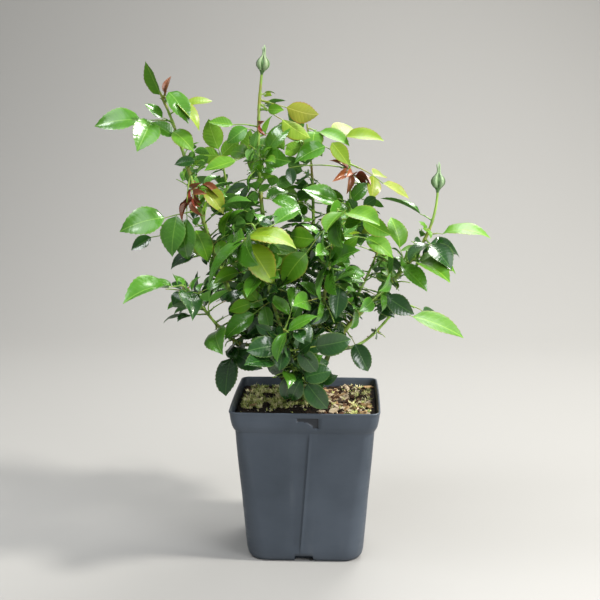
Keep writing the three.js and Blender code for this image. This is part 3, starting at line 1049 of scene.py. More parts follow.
@dataclass(frozen=True)
class Accent:
    """A single leaflet told by where it starts and ends, as x and z where the view
    from the front crosses the pot's middle."""

    shoot: str
    base: tuple
    tip: tuple
    tint: Tint
    facing: float = 0.6


class PlacedLeaf(Leaf):
    """A leaf of one leaflet that lies where the photograph shows it."""

    SEATS = 60
    FORWARD = 10.0
    LEAN = 0.3

    def __init__(self, shoot: Shoot, accent: Accent) -> None:
        """Lay the leaf out from the nearest stretch of its shoot.

        Args:
            shoot: The shoot that carries it.
            accent: Where it shows.
        """
        self.tint, self.leading = accent.tint, True
        start, end = (np.array([x, 0.0, z]) - FRONT for x, z in (accent.base, accent.tip))
        line = [shoot.along(t) for t in np.linspace(shoot.bare + 0.03, 0.97, self.SEATS)]
        seats = [(foot, FRONT + start * (foot[1] - self.FORWARD - FRONT[1]) / start[1]) for foot in line]
        self.foot, base = min(seats, key=self.strain)
        spread = math.hypot(accent.base[0] - accent.tip[0], accent.base[1] - accent.tip[1])
        tip = FRONT + end * (base[1] - self.LEAN * spread - FRONT[1]) / end[1]
        self.stalk = float(np.linalg.norm(base - self.foot))
        self.ahead = unit(base - self.foot)
        self.normal = unit(np.cross(np.cross(self.ahead, UP + np.array([0.1, 0.0, 0.0])), self.ahead))
        self.twig = self.plain_stalk()
        along = unit(tip - base)
        face = accent.facing * unit(FRONT - base) + (1 - accent.facing) * UP
        normal = unit(face - along * (face @ along))
        self.leaflets = [Leaflet(base - along, along, normal, float(np.linalg.norm(tip - base)))]
        self.shares = [1.0]

    @staticmethod
    def strain(seat: tuple[Array, Array]) -> float:
        """Tell how far a stalk strays from its usual length, and how much it hangs."""
        foot, base = seat
        return abs(np.linalg.norm(base - foot) - RULE.placed_stalk) + 2 * max(foot[2] - base[2], 0)


class Room:
    """Convex pieces that new growth has to keep clear of."""

    WIDE = 64
    STEM = -1
    ROUNDS = 60

    def __init__(self) -> None:
        """Start with nothing in the way."""
        self.points = np.zeros((0, self.WIDE, 3))
        self.centres = np.zeros((0, 3))
        self.radii = np.zeros(0)
        self.owners = np.zeros(0, int)
        self.leaves = np.zeros(0, int)

    @staticmethod
    def middle(points: Array) -> Array:
        """Give the middle of the points' box."""
        return (points.min(0) + points.max(0)) / 2

    @classmethod
    def apart(cls, first: Array, others: Array, middles: Array, gap: float) -> Array:
        """Tell which convex pieces are surely further from the first than the gap.

        Args:
            first: Points of one piece.
            others: Points of the other pieces, padded alike.
            middles: Middles of the other pieces.
            gap: Least distance.

        Returns:
            One truth value for each other piece.
        """
        away = cls.middle(first) - middles
        clear = np.zeros(len(others), bool)
        open_ones = np.arange(len(others))
        for _ in range(cls.ROUNDS):
            if not len(open_ones):
                break
            step = away[open_ones]
            length = np.linalg.norm(step, axis=1)
            near = first[np.argmax(-step @ first.T, axis=1)]
            group = others[open_ones]
            furthest = np.argmax(np.einsum("kni,ki->kn", group, step), axis=1)
            far = group[np.arange(len(group)), furthest]
            corner = near - far
            along = (corner * step).sum(1)
            good = along / np.maximum(length, 1e-9) > gap
            clear[open_ones[good]] = True
            stuck = (length < 1e-6) | (length**2 - along < 1e-3 * length**2)
            edge = step - corner
            share = np.clip((step * edge).sum(1) / np.maximum((edge**2).sum(1), 1e-12), 0, 1)
            away[open_ones] = step - edge * share[:, None]
            open_ones = open_ones[~good & ~stuck]
        return clear

    @classmethod
    def padded(cls, points: Array) -> Array:
        """Repeat the first point up to the common count."""
        return np.concatenate([points, np.repeat(points[:1], cls.WIDE - len(points), axis=0)])

    def add(self, points: Array, owner: int, leaf: int) -> None:
        """Put a piece in the way of later ones."""
        centre = self.middle(points)
        self.points = np.concatenate([self.points, self.padded(points)[None]])
        self.centres = np.concatenate([self.centres, centre[None]])
        self.radii = np.append(self.radii, np.linalg.norm(points - centre, axis=1).max())
        self.owners = np.append(self.owners, owner)
        self.leaves = np.append(self.leaves, leaf)

    def add_stem(self, rings: list, owner: int) -> None:
        """Put a stem in the way, one piece between each two rings."""
        for low, high in zip(rings, rings[1:]):
            self.add(np.concatenate([low, high]), owner, self.STEM)

    def is_free(
        self, points: Array, owner: int, leaf: int, may_touch_stem: bool, gap: float = RULE.clearance
    ) -> bool:
        """Tell whether a piece is clear of all but its own leaf and stem.

        Args:
            points: Corners of the new piece.
            owner: Number of its shoot.
            leaf: Number of its leaf.
            may_touch_stem: Whether it may meet its own stem.
            gap: Least distance to the rest.

        Returns:
            True when it is clear.
        """
        centre = self.middle(points)
        radius = np.linalg.norm(points - centre, axis=1).max()
        spared = (self.leaves == leaf) | (may_touch_stem & (self.leaves == self.STEM))
        own = (self.owners == owner) & spared
        far = np.linalg.norm(self.centres - centre, axis=1) > self.radii + radius + gap
        near = np.flatnonzero(~own & ~far)
        return bool(self.apart(points, self.points[near], self.centres[near], gap).all())


# Each shoot's marks are its knee, shoulder and tip. Each row of its sprays gives station, bearing,
# rise, reach, pairs of leaflets, leaflet length, roll and tint.
SHOOTS = (
    Shoot(
        "tall_left", (-110, -20, 380), (-155, -40, 525), (-200, -45, 660), 0.26, 0.80, (4.0, 1.5), 11, 9,
        foot=(-11, -2, 221),
        sprays=(
            (0.90, -165, 0, 105, 1, 65, -40, MID), (0.95, 180, 65, 60, 1, 50, 20, BRIGHT),
            (0.98, -150, -25, 40, 0, 40, -30, MID), (0.97, -15, 75, 35, 0, 25, 60, BRONZE),
            (0.99, -20, -35, 65, 1, 55, -70, YELLOW), (0.80, -60, -5, 55, 1, 45, 20, MID),
            (0.60, -160, -10, 115, 1, 65, -60, MID), (0.70, -75, -50, 60, 2, 30, 20, BRONZE),
            (0.65, -130, -40, 45, 2, 30, -10, BRONZE), (0.75, 135, -5, 55, 1, 45, -20, DARK),
            (0.72, -110, -80, 120, 1, 60, -45, MID), (0.50, 95, -60, 85, 2, 50, 0, DARK),
        ),
    ),
    Shoot(
        "centre_bud", (-50, 25, 385), (-70, 30, 540), (-65, 25, 690), 0.28, 0.82, (3.6, 2.0), 23, 8,
        foot=(-8, 8, 223), bud=True,
        sprays=(
            (0.91, -10, -15, 90, 0, 50, -60, OLIVE), (0.90, -10, -35, 90, 0, 50, -60, YELLOW),
            (0.88, -25, 0, 40, 0, 25, 90, BRIGHT), (0.85, -60, -60, 30, 1, 20, 10, BRONZE),
            (0.72, 170, 20, 90, 1, 40, -60, MID), (0.74, -155, -15, 85, 2, 50, -60, BRIGHT),
            (0.70, -15, 55, 80, 1, 55, 70, MID), (0.65, 160, -20, 70, 2, 50, -20, DARK),
            (0.60, -30, -5, 65, 2, 50, 25, MID), (0.50, -170, -10, 75, 2, 50, -25, DARK),
        ),
    ),
    Shoot(
        "right_bud", (65, -35, 340), (140, -60, 425), (180, -60, 530), 0.26, 0.74, (3.8, 1.6), 37, 7,
        foot=(11, -4, 221), bud=True,
        sprays=(
            (0.82, -15, 5, 75, 0, 65, 5, BRIGHT), (0.80, -60, -25, 60, 1, 55, 40, DARK),
            (0.88, -175, 30, 65, 0, 60, 10, MID), (0.70, -60, -10, 70, 1, 65, 45, BRIGHT),
            (0.60, -130, 30, 60, 1, 45, -20, MID), (0.50, -40, 5, 80, 1, 45, 25, MID),
            (0.65, 115, 60, 80, 2, 50, -20, BRIGHT),
        ),
    ),
    Shoot(
        "upper_right", (45, 35, 330), (60, 40, 450), (60, 40, 565), 0.26, 0.97, (3.4, 1.3), 41, 8,
        foot=(9, 9, 223),
        sprays=(
            (0.98, 0, -30, 100, 1, 45, 40, OLIVE), (0.95, -115, -10, 40, 1, 35, -20, BRONZE),
            (0.93, -40, -5, 35, 1, 35, 20, BRONZE), (0.80, -155, 20, 70, 1, 60, -65, MID),
            (0.70, -35, -10, 70, 2, 50, 20, YELLOW), (0.82, 115, 75, 75, 2, 45, -20, MID),
        ),
    ),
    Shoot(
        "low_front", (-10, -75, 265), (-20, -115, 315), (-25, -140, 350), 0.22, 1, (3.0, 1.2), 71, 8,
        foot=(-5, -13, 220),
        sprays=(
            (0.75, -145, 0, 50, 2, 45, -20, DARK), (0.98, -60, -5, 50, 1, 50, 0, MID),
            (0.50, -15, -50, 75, 1, 45, 20, DARK), (0.40, -170, -10, 65, 2, 45, -20, DARK),
        ),
    ),
    Shoot(
        "back_left", (-75, 80, 335), (-115, 120, 455), (-135, 125, 565), 0.24, 1, (3.4, 1.3), 97, 11,
        foot=(-12, 12, 219),
        sprays=(
            (0.98, -155, 70, 65, 2, 50, -20, BRIGHT), (0.90, 160, -15, 55, 2, 50, -20, MID),
        ),
    ),
    Shoot(
        "back_centre", (5, 90, 350), (5, 120, 490), (-5, 125, 615), 0.26, 0.9, (3.6, 1.3), 101, 11,
        foot=(2, 15, 220),
        sprays=(
            (0.94, -10, 0, 115, 1, 60, 75, YELLOW), (0.92, -165, 55, 60, 1, 40, -20, MID),
            (0.82, -160, 10, 65, 2, 50, -25, MID), (0.98, -20, -20, 65, 1, 55, 80, BRIGHT),
        ),
    ),
    Shoot(
        "front_right", (20, -55, 340), (35, -75, 435), (45, -85, 505), 0.24, 1, (3.4, 1.3), 127, 9,
        foot=(6, -12, 222),
        sprays=(
            (0.98, -50, -5, 70, 1, 65, 5, BRIGHT), (0.99, -90, -35, 65, 1, 55, 65, MID),
            (0.95, -165, -50, 120, 1, 55, 5, BRIGHT), (0.67, -85, -30, 65, 1, 60, 85, MID),
            (0.55, -25, -20, 75, 2, 50, 20, DARK), (0.45, -50, -50, 80, 2, 45, 0, DARK),
        ),
    ),
    Shoot(
        "low_left", (-110, -60, 325), (-145, -85, 375), (-170, -95, 400), 0.20, 1, (2.6, 1.3), 59, 6,
        parent="tall_left", fork=0.17,
        sprays=(
            (0.92, -135, 0, 85, 1, 75, -30, MID), (0.96, -65, -20, 60, 1, 55, -65, DARK),
            (0.55, 140, 60, 65, 1, 45, -20, DARK), (0.45, -80, -20, 55, 2, 55, 0, MID),
            (0.25, -105, -60, 80, 1, 55, -25, DARK),
        ),
    ),
    Shoot(
        "low_right", (90, 0, 310), (125, 10, 345), (155, 0, 355), 0.20, 1, (2.6, 1.3), 61, 7,
        parent="right_bud", fork=0.20,
        sprays=(
            (0.70, -15, -15, 90, 0, 80, 35, BRIGHT), (0.60, -55, 15, 60, 1, 45, 20, DARK),
            (0.45, -125, -65, 60, 1, 45, 0, DARK), (0.25, 20, 0, 50, 2, 40, 20, DARK),
        ),
    ),
    Shoot(
        "front_left", (-30, -70, 330), (-55, -95, 430), (-70, -105, 485), 0.20, 1, (2.8, 1.3), 83, 7,
        parent="front_right", fork=0.19,
        sprays=(
            (0.88, -155, -40, 85, 1, 75, 15, MID), (0.65, -115, -30, 50, 2, 45, 0, MID),
            (0.55, -50, -10, 55, 1, 50, 0, DARK), (0.50, -165, -35, 85, 2, 55, -20, MID),
        ),
    ),
    Shoot(
        "low_back", (-35, 95, 270), (-50, 145, 315), (-60, 175, 355), 0.22, 1, (2.6, 1.2), 113, 8,
        parent="back_centre", fork=0.14
    ),
    Shoot(
        "back_right", (60, 105, 335), (95, 130, 395), (120, 135, 455), 0.20, 1, (2.6, 1.3), 131, 9,
        parent="back_centre", fork=0.21
    ),
)


@dataclass(frozen=True)
class View:
    """The photograph's viewing angle: bearing and drop in degrees, sizes in millimetres."""

    aim: tuple = (-10.0, 0.0, 365.0)
    distance: float = 1590.0
    bearing: float = 2.5
    drop: float = 9.8

    def look(self) -> Array:
        """Give the direction in which the camera looks."""
        turn, down = math.radians(self.bearing), math.radians(self.drop)
        return np.array([-math.sin(turn) * math.cos(down), math.cos(turn) * math.cos(down), -math.sin(down)])

    def place(self) -> Array:
        """Give the camera's place."""
        return np.array(self.aim) - self.distance * self.look()


VIEW = View()
FRONT = VIEW.place()
# Open places of the crown seen from the front: x, z and radius where the view crosses the pot's middle.
OPEN = (
    (-225, 575, 12), (-220, 645, 10), (-210, 365, 16), (-195, 510, 30), (-195, 575, 20), (-180, 620, 14),
    (-155, 405, 12), (-140, 335, 28), (-140, 310, 14), (-135, 475, 12), (-135, 295, 20), (-60, 500, 12),
    (15, 495, 14), (90, 390, 14), (75, 315, 14), (-115, 650, 18), (-100, 550, 16), (-85, 655, 18),
    (-80, 620, 20), (35, 555, 24), (55, 525, 12), (55, 280, 14), (80, 430, 18), (90, 335, 14),
    (100, 290, 16), (125, 460, 22), (135, 320, 28), (145, 480, 14), (155, 370, 28), (175, 395, 18),
    (190, 490, 18),
)


ACCENTS = (
    Accent("tall_left", (-195, 660), (-165, 620), MID, 0.45),
    Accent("tall_left", (-190, 600), (-220, 620), MID),
    Accent("tall_left", (-190, 605), (-160, 580), BRIGHT),
    Accent("tall_left", (-160, 565), (-190, 560), DARK),
    Accent("tall_left", (-160, 465), (-140, 420), BRIGHT, 0.5),
    Accent("tall_left", (-225, 455), (-255, 435), DARK),
    Accent("tall_left", (-160, 430), (-200, 415), DARK, 0.4),
    Accent("tall_left", (-145, 525), (-120, 490), OLIVE, 0.45),
    Accent("tall_left", (-150, 530), (-120, 515), BRONZE, 0.4),
    Accent("tall_left", (-205, 625), (-230, 645), MID, 0.5),
    Accent("centre_bud", (-105, 615), (-140, 620), BRIGHT, 0.5),
    Accent("centre_bud", (-85, 610), (-115, 590), MID),
    Accent("upper_right", (35, 590), (60, 560), YELLOW),
    Accent("upper_right", (25, 585), (-20, 565), MID),
    Accent("upper_right", (-25, 555), (-20, 530), DARK),
    Accent("upper_right", (65, 510), (90, 535), MID),
    Accent("front_right", (80, 480), (120, 460), BRIGHT, 0.7),
    Accent("front_right", (85, 455), (125, 430), BRIGHT, 0.5),
    Accent("front_left", (-85, 455), (-15, 450), YELLOW, 0.3),
    Accent("front_left", (-85, 445), (-45, 390), YELLOW, 0.3),
    Accent("right_bud", (135, 415), (175, 380), MID, 0.35),
    Accent("right_bud", (115, 370), (155, 345), DARK, 0.7),
    Accent("right_bud", (70, 300), (90, 260), DARK, 0.8),
)


# Leaf colours below each height, each with the chance that it or one before it is taken.
# Dark leaves low down stand for old leaves and also for painted shade under the crown.
TINT_MIXES = (
    (330, ((0.85, DARK), (1, MID))),
    (420, ((0.30, DARK), (0.85, MID), (1, BRIGHT))),
    (520, ((0.10, DARK), (0.62, MID), (1, BRIGHT))),
    (math.inf, ((0.38, MID), (0.8, BRIGHT), (1, YELLOW))),
)
# The open compost at the front left: its left, right and back, and how high leaves keep off it.
OPEN_COMPOST = (-98, -30, 40, 286)
# What a bare cane adds to its shoot's number as an owner, so that leaves keep clear of it.
BARE_CANE = 100
# What keeps the numbers of leading leaves and of side twigs apart from those of other leaves.
LEADING = 500
FILLING = 1000


@dataclass
class Bush:
    """All the growth, laid out by the rule before any of it is drawn."""

    shoots: Sequence[Shoot] = SHOOTS
    room: Room = field(default_factory=Room)
    leaves: dict = field(default_factory=dict)
    leading: list = field(default_factory=list)

    def lay_canes(self) -> None:
        """Set the canes, each from the union or from the cane that it forks from."""
        by_name = {shoot.name: shoot for shoot in self.shoots}
        profile = [
            (0, 0), (RULE.union_radius, 0), (RULE.union_waist, 0.25), (RULE.union_radius * 0.95, 0.5),
            (RULE.union_radius * 0.72, 0.82), (RULE.union_radius * 0.36, 1), (0, 1)
        ]
        base = RULE.soil + RULE.clearance
        union = [
            (r * math.cos(a), r * math.sin(a), base + share * RULE.union_height)
            for r, share in profile
            for a in np.arange(12 if r else 1) * math.pi / 6
        ]
        self.room.add(np.array(union), -1, Room.STEM)
        for number, shoot in enumerate(self.shoots):
            carrier = by_name.get(shoot.parent or "")
            foot = carrier.along(shoot.fork) if carrier else np.array(shoot.foot, float)
            shoot.path = np.array([foot, shoot.knee, shoot.shoulder, shoot.tip], float)
            shoot.start = self.seat(shoot, carrier)
            rings = shoot.rings(shoot.start, shoot.bare, RULE.cane_steps, RULE.cane_sides)
            self.room.add_stem(rings, number + BARE_CANE)
        for number, shoot in enumerate(self.shoots):
            first = shoot.bare + RULE.clearance / shoot.pace(shoot.bare)
            rings = shoot.rings(first, 1.0, RULE.stem_steps, RULE.twig_sides)
            self.room.add_stem(rings, number)

    @staticmethod
    def seat(shoot: Shoot, carrier: Shoot | None) -> float:
        """Find the station where a cane comes out of what carries it."""
        for t in np.arange(0.0, 0.2, 0.002):
            point = shoot.along(t)
            if carrier:
                near = np.linspace(shoot.fork - 0.06, shoot.fork + 0.06, 40)
                line = np.array([carrier.along(s) for s in near])
                distance = np.linalg.norm(line - point, axis=1).min()
                out = distance > carrier.thickness(shoot.fork) + shoot.thickness(t) * 0.6
            else:
                out = math.hypot(point[0], point[1]) > RULE.union_radius * 0.9
                out = out or point[2] > RULE.soil + RULE.union_height + 1
            if out:
                return float(t)
        return 0.1

    @staticmethod
    def tint_of(dice: Dice, height: float) -> Tint:
        """Choose a leaf colour: dark low down, for old leaves and as painted shade, and young and bright at
        the top.

        Args:
            dice: The stream that settles it.
            height: Height of the leaf's foot above the ground.

        Returns:
            The colour.
        """
        chance = dice.next()
        mix = next(mix for top, mix in TINT_MIXES if height < top)
        return next(tint for limit, tint in mix if chance < limit)

    def grow(self) -> None:
        """Set the listed leaves and then the ruled ones, each kept only where it has room."""
        for number, shoot in enumerate(self.shoots):
            self.leaves[shoot.name] = []
            placed = [PlacedLeaf(shoot, accent) for accent in ACCENTS if accent.shoot == shoot.name]
            sprayed = [Leaf(shoot, spray, spray.tint) for spray in shoot.sprays if spray.leads]
            for index, leaf in enumerate(sprayed + placed):
                leaf.leading = True
                if self.keep(leaf, number, LEADING + index, 0, RULE.clearance):
                    self.leaves[shoot.name].append(leaf)
                    self.leading.append(self.glance(leaf.leaflets[-1]))
        for number, shoot in enumerate(self.shoots):
            for index, spray in enumerate(shoot.sprays):
                leaf = Leaf(shoot, spray, spray.tint)
                if not spray.leads and self.keep(leaf, number, index, 0, RULE.clearance):
                    self.leaves[shoot.name].append(leaf)
            dice = Dice(shoot.seed * Stream.TINTS)
            for index, spray in enumerate(shoot.ruled()):
                leaf = Leaf(shoot, spray, self.tint_of(dice, shoot.along(spray.station)[2]))
                if self.keep(leaf, number, len(shoot.sprays) + index, 2, RULE.clearance):
                    self.leaves[shoot.name].append(leaf)

    @staticmethod
    def glance(leaflet: Leaflet) -> tuple[Array, float, float]:
        """Give the direction, distance and apparent radius of a leaflet seen from the front."""
        line = leaflet.base + RULE.seen_middle * leaflet.length * leaflet.ahead - FRONT
        far = float(np.linalg.norm(line))
        return line / far, far, RULE.seen_radius * leaflet.length / far

    @staticmethod
    def over_open_compost(leaflet: Leaflet) -> bool:
        """Tell whether a leaflet hangs over the open compost at the front left."""
        x, y, z = leaflet.base + 0.5 * leaflet.length * leaflet.ahead
        left, right, back, top = OPEN_COMPOST
        return left < x < right and y < back and z < top

    @staticmethod
    def shuts_gap(leaflet: Leaflet) -> bool:
        """Tell whether a leaflet would shut one of the open places of the crown."""
        spot = leaflet.base + 0.5 * leaflet.length * leaflet.ahead
        line = spot - FRONT
        seen = FRONT - line * FRONT[1] / line[1]
        spare = 0.2 * leaflet.length
        return any(math.hypot(seen[0] - x, seen[2] - z) < radius + spare for x, z, radius in OPEN)

    def covers(self, leaflet: Leaflet) -> bool:
        """Tell whether a leaflet hangs in front of a leading one."""
        line, far, radius = self.glance(leaflet)
        return any(
            far < other_far and np.linalg.norm(line - other) < RULE.seen_overlap * (radius + reach)
            for other, other_far, reach in self.leading
        )

    def fits(
        self, leaflet: Leaflet, corners: Array, others: list, owner: int, index: int, gap: float
    ) -> bool:
        """Tell whether a leaflet hides nothing that shows and has room.

        Args:
            leaflet: The leaflet.
            corners: Its corners.
            others: Corners of the leaflets that its leaf already keeps.
            owner: Number of its shoot.
            index: Number of its leaf.
            gap: Least distance to other growth.

        Returns:
            True when it fits.
        """
        if self.covers(leaflet) or self.over_open_compost(leaflet) or self.shuts_gap(leaflet):
            return False
        if not self.room.is_free(corners, owner, index, False, gap):
            return False
        if not others:
            return True
        middles = np.array([Room.middle(c) for c in others])
        return bool(Room.apart(corners, np.array(others), middles, RULE.leaf_brush).all())

    def keep(self, leaf: Leaf, owner: int, index: int, least: int, gap: float) -> bool:
        """Keep what has room of one leaf.

        Args:
            leaf: The leaf, whose crowded leaflets are dropped.
            owner: Number of its shoot.
            index: Its own number.
            least: Fewest leaflets that make it worth keeping.
            gap: Least distance to other growth.

        Returns:
            True when the leaf is kept.
        """
        twig = np.concatenate(leaf.twig)
        if not leaf.leading and not self.room.is_free(twig, owner, index, True, gap):
            return False
        kept: list[tuple] = []
        for leaflet, share in zip(leaf.leaflets, leaf.shares):
            corners = leaflet.corners()
            sure = leaf.leading and (share == 1.0 or leaf.tint is BRONZE)
            others = [c for _, _, c in kept]
            if sure or self.fits(leaflet, corners, others, owner, index, gap):
                kept.append((leaflet, share, corners))
        if not kept or len(kept) < least:
            return False
        self.room.add(twig, owner, index)
        for _, _, corners in kept:
            self.room.add(corners, owner, index)
        leaf.leaflets = [leaflet for leaflet, _, _ in kept]
        leaf.shares = [share for _, share, _ in kept]
        return True

    def fill(self, count: int, leaflet: float, last: float = 0.94, gap: float = 0.2) -> None:
        """Set side sprays within the reach of each mass.

        Args:
            count: Sprays tried on each shoot.
            leaflet: Their leaflets' middle length.
            last: Station of the highest one.
            gap: Least distance to other growth; inside the bush leaves may brush.
        """
        for number, shoot in enumerate(self.shoots):
            low, high = (np.array(corner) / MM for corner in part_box(f"{shoot.name}_leaves"))
            dice = Dice(shoot.seed * Stream.FILLING + count)
            twigs = shoot.side_twigs(shoot.start + RULE.fill_start, last, count, leaflet)
            for index, spray in enumerate(twigs):
                height = shoot.along(spray.station)[2]
                # Side twigs take the colours of leaves fill_shade lower down, so the inside of the crown is
                # darker: painted shade.
                leaf = Leaf(shoot, spray, self.tint_of(dice, height - RULE.fill_shade))
                points = np.concatenate([blade.corners() for blade in leaf.leaflets])
                if (points < low - RULE.box_slack).any() or (points > high + RULE.box_slack).any():
                    continue
                if self.keep(leaf, number, FILLING * count + index, 1, gap):
                    self.leaves[shoot.name].append(leaf)


# The pot and its compost


@dataclass
class SquarePot:
    """The square nursery pot: a tapering wall with rounded corners, a stepped rim
    band with a label slot, a crease down the front and a notch in each foot."""

    height: float = 225.0
    band: float = 191.0
    wall: float = 2.4
    floor: float = 5.0
    corner_steps: int = 12
    profile: tuple = (
        (0, 77, 25), (0.7, 78.6, 26.2), (2, 80, 27.5), (4, 81.6, 28.5), (6, 82.5, 29), (8.7, 83.1, 28.9),
        (9.3, 83.2, 28.9), (14, 84, 28.5), (24, 84.8, 27.6), (44, 86.3, 26), (68, 88.1, 24.3), (97, 90, 22),
        (125, 92.4, 20), (155, 94.8, 18), (175, 96.1, 16.7), (187, 96.8, 16), (193.6, 97.2, 15.5),
        (194.6, 97.5, 15.4), (195.4, 98.2, 15.2), (196.4, 98.7, 15), (199, 99.9, 14.6), (203, 101.4, 14),
        (208, 102.4, 13.4), (213, 103.2, 13), (218, 103.8, 12.7), (221, 104.1, 12.5), (222.2, 104.6, 12.3),
        (223.4, 105, 12.1), (224.4, 104.9, 12), (225, 104.2, 11.6),
    )
    low_columns: tuple = (
        -40, -30, -22, -18, -15.6, -14.6, -13.8, -13, -12.2, -11.4, -10.6, -9.4, -8.6, -7.9, -7.3, -6.5, -5.2,
        -2, 2, 7, 11.8, 12.6, 20, 30, 40
    )
    high_columns: tuple = (
        -40, -30, -22, -16, -12, -10.4, -9.6, -7.4, -5, -2.6, -0.2, 2.4, 5, 6.6, 7.3, 8.4, 10, 12, 14.5, 17,
        19.6, 20.4, 26, 33, 40
    )
    slot: tuple = (-10, 20, 202.5, 217.5)
    notch: tuple = (-14, 12, 9, 68)
    slot_depth: float = 1.7
    channel_depth: float = 0.5
    crease_foot: float = -7.5
    crease_stray: float = 14.5
    crease_depth: float = 1.9
    crease_ridge: float = 0.7

    def ring(
        self, z: float, half: float, corner: float, front: Callable[[float, float], float] | None = None
    ) -> list:
        """Give the points around the pot at one height.

        Args:
            z: Height of the ring.
            half: Half the width.
            corner: Corner radius.
            front: Push of the front wall by place across and height.

        Returns:
            The points, turning left seen from above, the front wall first.
        """
        points = []
        flat = half - corner
        for side in range(4):
            rise = min(z, self.band) / self.band
            columns = [low + (high - low) * rise for low, high in zip(self.low_columns, self.high_columns)]
            across = [-flat, (-flat + columns[0]) / 2, *columns, (flat + columns[-1]) / 2]
            spots = []
            for x in across:
                push = front(x, z) if front and side == 0 else 0.0
                bow = 1.2 * (1 - (x / half) ** 2) * smooth(150, 215, z)
                depth = half + bow - push
                if front and self.notch[0] < x < self.notch[1] and z < self.notch[2]:
                    depth = min(depth, self.notch[3])
                spots.append((x, -depth))
            for step in range(self.corner_steps):
                angle = -math.pi / 2 + (step / self.corner_steps) * math.pi / 2
                spots.append((flat + corner * math.cos(angle), -flat + corner * math.sin(angle)))
            cos, sin = math.cos(side * math.pi / 2), math.sin(side * math.pi / 2)
            points += [(x * cos - y * sin, x * sin + y * cos, z) for x, y in spots]
        return points

    def press(self, x: float, z: float) -> float:
        """Give how far the front wall is pressed in at a place.

        Args:
            x: Place across the front.
            z: Height.

        Returns:
            The push in millimetres, inward.
        """
        left, right, low, high = self.slot
        channel = smooth(left - 6, left + 1, x) * (1 - smooth(right - 1, right + 2, x))
        push = self.channel_depth * (channel * smooth(178, 194, z) * (1 - smooth(high, high + 1, z)))
        if left < x < right and low < z < high:
            tongue = math.hypot((x - left - 5) / 19, (z - low + 3) / 13)
            push += self.slot_depth * smooth(0.92, 1.06, tongue)
        line = self.crease_foot + self.crease_stray * min(z, self.band) / self.band
        trough = smooth(line - 24, line - 4, x) * (1 - smooth(line - 1.2, line + 0.3, x))
        ridge = math.exp(-((x - line - 0.8) / 1.1) ** 2)
        fade = smooth(10, 24, z) * (1 - smooth(183, 195, z))
        return push + fade * (self.crease_depth * trough - self.crease_ridge * ridge)

    def build(self) -> bpy.types.Object:
        """Build the pot as one closed shell."""
        outer = [self.ring(z, half, corner, self.press) for z, half, corner in self.heights()]
        inner_rows = [(self.height, 103.3, 11.2), (self.height - 0.4, 102.6, 10.6)]
        inner_rows += [
            (z, half - self.wall, corner - self.wall * 0.6)
            for z, half, corner in reversed(self.profile)
            if self.floor + 2 < z < self.height - 3
        ]
        inner_rows += [(self.floor + 1.2, 77.0, 23.0), (self.floor, 75.0, 21.0)]
        inner = [self.ring(z, half, corner) for z, half, corner in inner_rows]
        shell = Shell()
        add_tube(shell, outer + inner, ends=[(0, 0, 0.0), (0, 0, self.floor)])
        count = len(outer[0])
        width = len(self.low_columns) + 3
        # Faces of the label slot's recess floor take material 1, a darker copy of the plastic: painted shade
        # in the recess.
        for number in range((len(outer) - 1) * count):
            if number % count < width - 1:
                x, _, z = np.mean([shell.points[i] for i in shell.faces[number]], axis=0)
                shell.marks[number] = int(self.press(x, z) > self.slot_depth - 0.1 and z > self.slot[2])
        # The darker plastic of the slot's recess is painted shade.
        slot_shade = PotPlastic("slate_slot_painted_shade", (30, 34, 40), (40, 45, 52), (56, 58, 60))
        return show("nursery_pot", shell.mesh("pot_shell"), [PotPlastic().material(), slot_shade.material()])

    def heights(self) -> list:
        """Give the rows of the outer wall, with short ones added in between."""
        low, high = self.slot[2:]
        levels = {row[0] for row in self.profile} | {low - 0.2, low + 0.2, high - 0.2, high + 0.2}
        levels |= {*np.arange(20, 200, 6).tolist(), *np.arange(low + 1.2, high - 0.8, 1.1).tolist()}
        marks, halves, corners = zip(*self.profile)
        return [
            (z, float(np.interp(z, marks, halves)), float(np.interp(z, marks, corners)))
            for z in sorted(levels)
        ]


